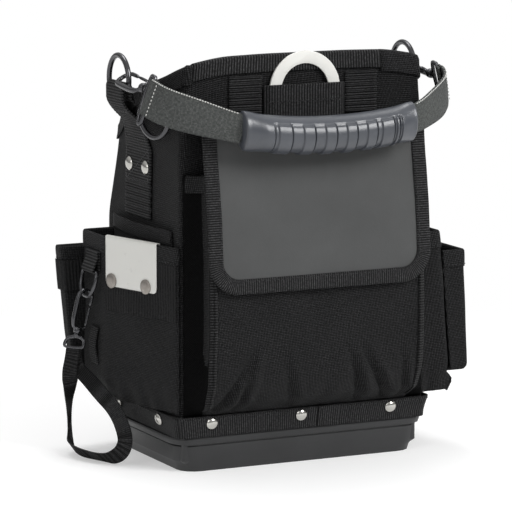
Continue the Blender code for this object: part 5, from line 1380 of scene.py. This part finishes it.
def make_grip():
    """Moulded rubber grip: raised bands between smooth collars, sagging in its length."""
    def place(u, v):
        x = mix(-GRIP_HALF, GRIP_HALF, u)
        turn = 2 * math.pi * v
        z = GRIP_Z - GRIP_SAG * (1 - (x / GRIP_HALF) ** 2)
        radius = grip_radius(x, turn)
        collar = ease((abs(x) - 0.062) / 0.018)
        y = GRIP_Y + radius * mix(1.0, 0.76, collar) * math.sin(turn)
        return Vector((x, y, z + radius * mix(1.0, 1.10, collar) * math.cos(turn)))

    bm = grid(620, 84, place, around=True)
    bmesh.ops.edgeloop_fill(bm, edges=[e for e in bm.edges if e.is_boundary])
    bmesh.ops.recalc_face_normals(bm, faces=bm.faces[:])
    keep("grip_rubber", bm, "rubber", "grip_rubber", ("grip",), body="handle")


TAPE_W = 0.0138
TAPE_T = 0.0015
TAPE_RIBS = 230
TAPE_RIB_H = 0.00022
TAPE_FOOT = Vector((-0.1195, 0.0345, 0.0))
# Tape loop: middle from its foot, and the direction across it
TAPE_RUN = (
    ((-0.0519, 0.0000, 0.0975), (0.62, -0.785, 0.0)), ((-0.0535, -0.0010, 0.0900), (0.62, -0.785, 0.0)),
    ((-0.0550, 0.0000, 0.0800), (0.62, -0.785, 0.0)), ((-0.0540, 0.0035, 0.0710), (0.906, -0.42, 0.0)),
    ((-0.0530, 0.0055, 0.0630), (0.97, 0.25, 0.0)), ((-0.0515, 0.0110, 0.0460), (0.67, 0.74, 0.0)),
    ((-0.0495, 0.0160, 0.0280), (0.53, 0.85, 0.0)), ((-0.0490, 0.0165, 0.0160), (0.55, 0.70, -0.45)),
    ((-0.0500, 0.0120, 0.0090), (0.58, 0.30, -0.75)), ((-0.0515, 0.0020, 0.0068), (0.62, 0.0, -0.78)),
    ((-0.0520, -0.0126, 0.0062), (0.70, 0.0, -0.71)), ((-0.0490, -0.0250, 0.0058), (0.76, 0.10, -0.64)),
    ((-0.0430, -0.0400, 0.0055), (0.72, 0.30, -0.62)), ((-0.0375, -0.0515, 0.0068), (0.66, 0.10, -0.74)),
    ((-0.0325, -0.0610, 0.0140), (0.62, -0.40, -0.68)), ((-0.0305, -0.0640, 0.0250), (0.60, -0.78, -0.20)),
    ((-0.0310, -0.0560, 0.0385), (0.60, -0.62, 0.50)), ((-0.0330, -0.0430, 0.0500), (0.62, -0.60, 0.50)),
    ((-0.0370, -0.0260, 0.0595), (0.62, -0.68, 0.40)), ((-0.0415, -0.0110, 0.0695), (0.62, -0.75, 0.25)),
    ((-0.0485, -0.0010, 0.0800), (0.62, -0.785, 0.05)), ((-0.0508, 0.0012, 0.0900), (0.62, -0.785, 0.0)),
    ((-0.0519, 0.0000, 0.0975), (0.62, -0.785, 0.0)),
)


def make_tape_strap():
    """Ribbed tape that loops from the small eye to the ground and back."""
    spots = [TAPE_FOOT + Vector(p) for p, across in TAPE_RUN]
    sides = [Vector(across).normalized() for p, across in TAPE_RUN]

    def place(u, v):
        across = on_curve(sides, v).normalized()
        ahead = (on_curve(spots, min(v + 0.004, 1.0)) - on_curve(spots, max(v - 0.004, 0.0))).normalized()
        across = (across - ahead * across.dot(ahead)).normalized()
        rib = TAPE_RIB_H * math.cos(v * 2 * math.pi * TAPE_RIBS)
        return on_curve(spots, v) + across * ((u - 0.5) * TAPE_W) + ahead.cross(across) * rib

    bm = grid(12, 4 * TAPE_RIBS, place)
    piece = keep("tape_strap_webbing", bm, "tape", "webbing", ("tape_strap",), thick=TAPE_T, offset=0.0,
                 body=None)
    baked(piece)
    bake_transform(piece)
    line = [on_curve(spots, k / 240) for k in range(241)]
    lengths(line)[-1]
    [tuple(p) for p in line]


LAMP_AIM = Vector((0, 0, 0.18))
VIEW_AIM = Vector((-0.0086, 0.0, 0.1735))
LAMP_SIZE = 1.0
FLOOR_SIZE = 30.0
SENSOR_W = 36.0
FAR_CLIP = 100.0


def aim(thing, way):
    """Turn a lamp or camera to face a direction."""
    thing.rotation_euler = way.to_track_quat("-Z", "Y").to_euler()


def make_stage(settings):
    """Pale floor, soft lamps, even surroundings and the camera at the pouch's angle."""
    LOOKS["floor"] = floor_look()
    bm = bmesh.new()
    bmesh.ops.create_grid(bm, x_segments=1, y_segments=1, size=FLOOR_SIZE)
    keep("floor", bm, "floor", None, body=None)
    scene = bpy.context.scene
    scene.world = bpy.data.worlds.new("studio")
    scene.world.use_nodes = True
    tree = scene.world.node_tree
    tree.nodes.clear()
    seen = make_node(tree, "ShaderNodeLightPath").outputs
    glow = math_node(tree, "MAXIMUM", seen["Is Camera Ray"], seen["Is Transmission Ray"])
    upward = make_node(tree, "ShaderNodeNewGeometry").outputs["Incoming"]
    height = make_node(tree, "ShaderNodeSeparateXYZ", Vector=upward).outputs["Z"]
    level = make_node(
        tree, "ShaderNodeMapRange", Value=height, From_Min=0.10, From_Max=-0.60, To_Min=0.18, To_Max=2.1,
    )
    strength = math_node(tree, "MULTIPLY", level.outputs["Result"], settings.sky_level)
    soft, white = (
        make_node(tree, "ShaderNodeBackground", Color=WHITE, Strength=value).outputs[0]
        for value in (strength, 1.0)
    )
    both = joined(tree, "ShaderNodeMixShader", soft, white, _0=glow)
    out = make_node(tree, "ShaderNodeOutputWorld")
    tree.links.new(both, out.inputs["Surface"])
    for name, place, power in (
        ("key_lamp", (0.75, -1.6, 1.35), settings.key_power),
        ("fill_lamp", (-1.6, -0.9, 1.0), settings.fill_power),
        ("top_lamp", (0.1, 0.5, 1.9), settings.top_power),
    ):
        light = bpy.data.lights.new(name, "AREA")
        light.shape = "DISK"
        light.size = LAMP_SIZE
        light.energy = power
        lamp = add_object(name, light)
        lamp.location = place
        aim(lamp, LAMP_AIM - Vector(place))
    az, el = settings.azimuth, settings.elevation
    toward = Vector((math.sin(az) * math.cos(el), -math.cos(az) * math.cos(el), math.sin(el)))
    view = bpy.data.cameras.new("view")
    view.lens = settings.focal_length
    view.sensor_width = SENSOR_W
    view.clip_end = FAR_CLIP
    scene.camera = add_object("view", view)
    scene.camera.location = VIEW_AIM + toward * settings.distance
    aim(scene.camera, -toward)
    scene.view_settings.view_transform = "Standard"


def colour(name, text, value):
    """Colour setting of the panel."""
    return FloatVectorProperty(
        name=name, description=text, subtype="COLOR", size=3, min=0.0, max=1.0, default=value,
    )


def number(name, text, value, unit="NONE", **limits):
    """Number setting of the panel."""
    return FloatProperty(name=name, description=text, default=value, unit=unit, **limits)


class PouchSettings(bpy.types.PropertyGroup):
    """Colours and sizes of the pouch and its stage"""
    cloth_color: colour("Cloth", "Colour of the body's cloth", (0.0100, 0.0100, 0.0104))
    webbing_color: colour("Webbing", "Colour of webbing and binding", (0.0150, 0.0150, 0.0155))
    flap_color: colour("Flap", "Colour of the coated flap", (0.0625, 0.064, 0.064))
    strap_color: colour("Straps", "Colour of the handle's straps", (0.098, 0.103, 0.100))
    grip_color: colour("Grip", "Colour of the rubber grip", (0.052, 0.057, 0.068))
    base_color: colour("Base", "Colour of the moulded base", (0.0195, 0.020, 0.021))
    dark_metal_color: colour("Dark metal", "Colour of rings, hooks and eyes", (0.085, 0.085, 0.090))
    pale_color: colour("Pale metal", "Colour of the plate and hanging ring", (0.74, 0.735, 0.70))
    weave_pitch: number("Weave", "Distance between threads", 0.0022, "LENGTH")
    rib_pitch: number("Ribs", "Distance between webbing ribs", 0.0026, "LENGTH")
    sag: number("Sag", "Share of the cloth's full slackness", 1.0, min=0.0, max=2.0, subtype="FACTOR")
    sky_level: number("Surroundings", "Strength of the even light", 0.30)
    key_power: number("Key lamp", "Power of the lamp at the front right", 26.0, "POWER")
    fill_power: number("Fill lamp", "Power of the lamp at the left", 5.0, "POWER")
    top_power: number("Top lamp", "Power of the lamp above", 14.0, "POWER")
    azimuth: number("Azimuth", "Camera's turn round the pouch", math.radians(-25.8), "ROTATION")
    elevation: number("Elevation", "Camera's height angle", math.radians(8.9), "ROTATION")
    distance: number("Distance", "Camera's distance", 3.125, "LENGTH")
    focal_length: number("Lens", "Camera's focal length in millimetres", 246.1)


class PouchLooks(bpy.types.Operator):
    """Make the pouch's materials"""
    bl_idname = "pouch.looks"
    bl_label = "Materials"
    bl_options = {"REGISTER", "UNDO"}

    def execute(self, context):
        """Materials from the panel's colours."""
        make_looks(context.scene.pouch)
        return {"FINISHED"}


class PouchBody(bpy.types.Operator):
    """Build the body's cloth, rims and front webbing"""
    bl_idname = "pouch.body"
    bl_label = "Body"
    bl_options = {"REGISTER", "UNDO"}

    def execute(self, context):
        """Body shell, its edges, strips and keeper."""
        make_body(context.scene.pouch)
        make_rims()
        make_front_strips()
        make_keeper()
        return {"FINISHED"}


class PouchFrontPocket(bpy.types.Operator):
    """Build the front pocket"""
    bl_idname = "pouch.front_pocket"
    bl_label = "Front pocket"
    bl_options = {"REGISTER", "UNDO"}

    def execute(self, context):
        """Panel, bellows sides, bound edges and hems."""
        make_front_pocket(context.scene.pouch)
        return {"FINISHED"}


class PouchFlap(bpy.types.Operator):
    """Build the flap and its bound edge"""
    bl_idname = "pouch.flap"
    bl_label = "Flap"
    bl_options = {"REGISTER", "UNDO"}

    def execute(self, context):
        """Flap, its bound edge and its stitches."""
        make_flap(context.scene.pouch)
        return {"FINISHED"}


class PouchSidePockets(bpy.types.Operator):
    """Build the side pockets"""
    bl_idname = "pouch.side_pockets"
    bl_label = "Side pockets"
    bl_options = {"REGISTER", "UNDO"}

    def execute(self, context):
        """Pockets with their hems."""
        make_side_pockets()
        return {"FINISHED"}


class PouchBase(bpy.types.Operator):
    """Build the base, its band and the rivets"""
    bl_idname = "pouch.base"
    bl_label = "Base and band"
    bl_options = {"REGISTER", "UNDO"}

    def execute(self, context):
        """Moulded tub, board, rivets and band."""
        make_base()
        make_band()
        return {"FINISHED"}


class PouchTabs(bpy.types.Operator):
    """Build the webbing tabs of the D-rings"""
    bl_idname = "pouch.tabs"
    bl_label = "Ring tabs"
    bl_options = {"REGISTER", "UNDO"}

    def execute(self, context):
        """Tabs and their seams."""
        make_tabs()
        return {"FINISHED"}


class PouchFittings(bpy.types.Operator):
    """Finish the rings, hooks, eyes and plate"""
    bl_idname = "pouch.fittings"
    bl_label = "Fittings"
    bl_options = {"REGISTER", "UNDO"}

    def execute(self, context):
        """Metal fittings and small tabs."""
        make_fittings()
        return {"FINISHED"}


class PouchHandle(bpy.types.Operator):
    """Build the straps and the grip"""
    bl_idname = "pouch.handle"
    bl_label = "Handle"
    bl_options = {"REGISTER", "UNDO"}

    def execute(self, context):
        """Straps, stitches and grip."""
        make_straps()
        make_grip()
        return {"FINISHED"}


class PouchTape(bpy.types.Operator):
    """Build the hanging tape strap"""
    bl_idname = "pouch.tape"
    bl_label = "Tape strap"
    bl_options = {"REGISTER", "UNDO"}

    def execute(self, context):
        """Loop of ribbed tape."""
        make_tape_strap()
        return {"FINISHED"}


class PouchStage(bpy.types.Operator):
    """Set up the floor, the lamps and the camera"""
    bl_idname = "pouch.stage"
    bl_label = "Stage"
    bl_options = {"REGISTER", "UNDO"}

    def execute(self, context):
        """Floor, lamps, surroundings and camera."""
        make_stage(context.scene.pouch)
        return {"FINISHED"}


STEPS = (
    PouchLooks, PouchBody, PouchFrontPocket, PouchFlap, PouchSidePockets, PouchBase, PouchTabs,
    PouchFittings, PouchHandle, PouchTape, PouchStage,
)


class PouchPanel(bpy.types.Panel):
    """Lists the pouch's settings and steps"""
    bl_idname = "VIEW3D_PT_pouch"
    bl_label = "Tool pouch"
    bl_space_type = "VIEW_3D"
    bl_region_type = "UI"
    bl_category = "Pouch"

    def draw(self, context):
        """Draw the settings and a button for each step."""
        for key in PouchSettings.__annotations__:
            self.layout.prop(context.scene.pouch, key)
        for step in STEPS:
            self.layout.operator(step.bl_idname)


def register():
    """Add the settings, steps and panel."""
    for item in (PouchSettings, *STEPS, PouchPanel):
        bpy.utils.register_class(item)
    bpy.types.Scene.pouch = PointerProperty(type=PouchSettings)


def unregister():
    """Take the settings, steps and panel away."""
    del bpy.types.Scene.pouch
    for item in (PouchPanel, *reversed(STEPS), PouchSettings):
        bpy.utils.unregister_class(item)


def main():
    """Build every piece."""
    register()
    for step in STEPS:
        family, action = step.bl_idname.split(".")
        getattr(getattr(bpy.ops, family), action)()


if __name__ == "__main__":
    main()
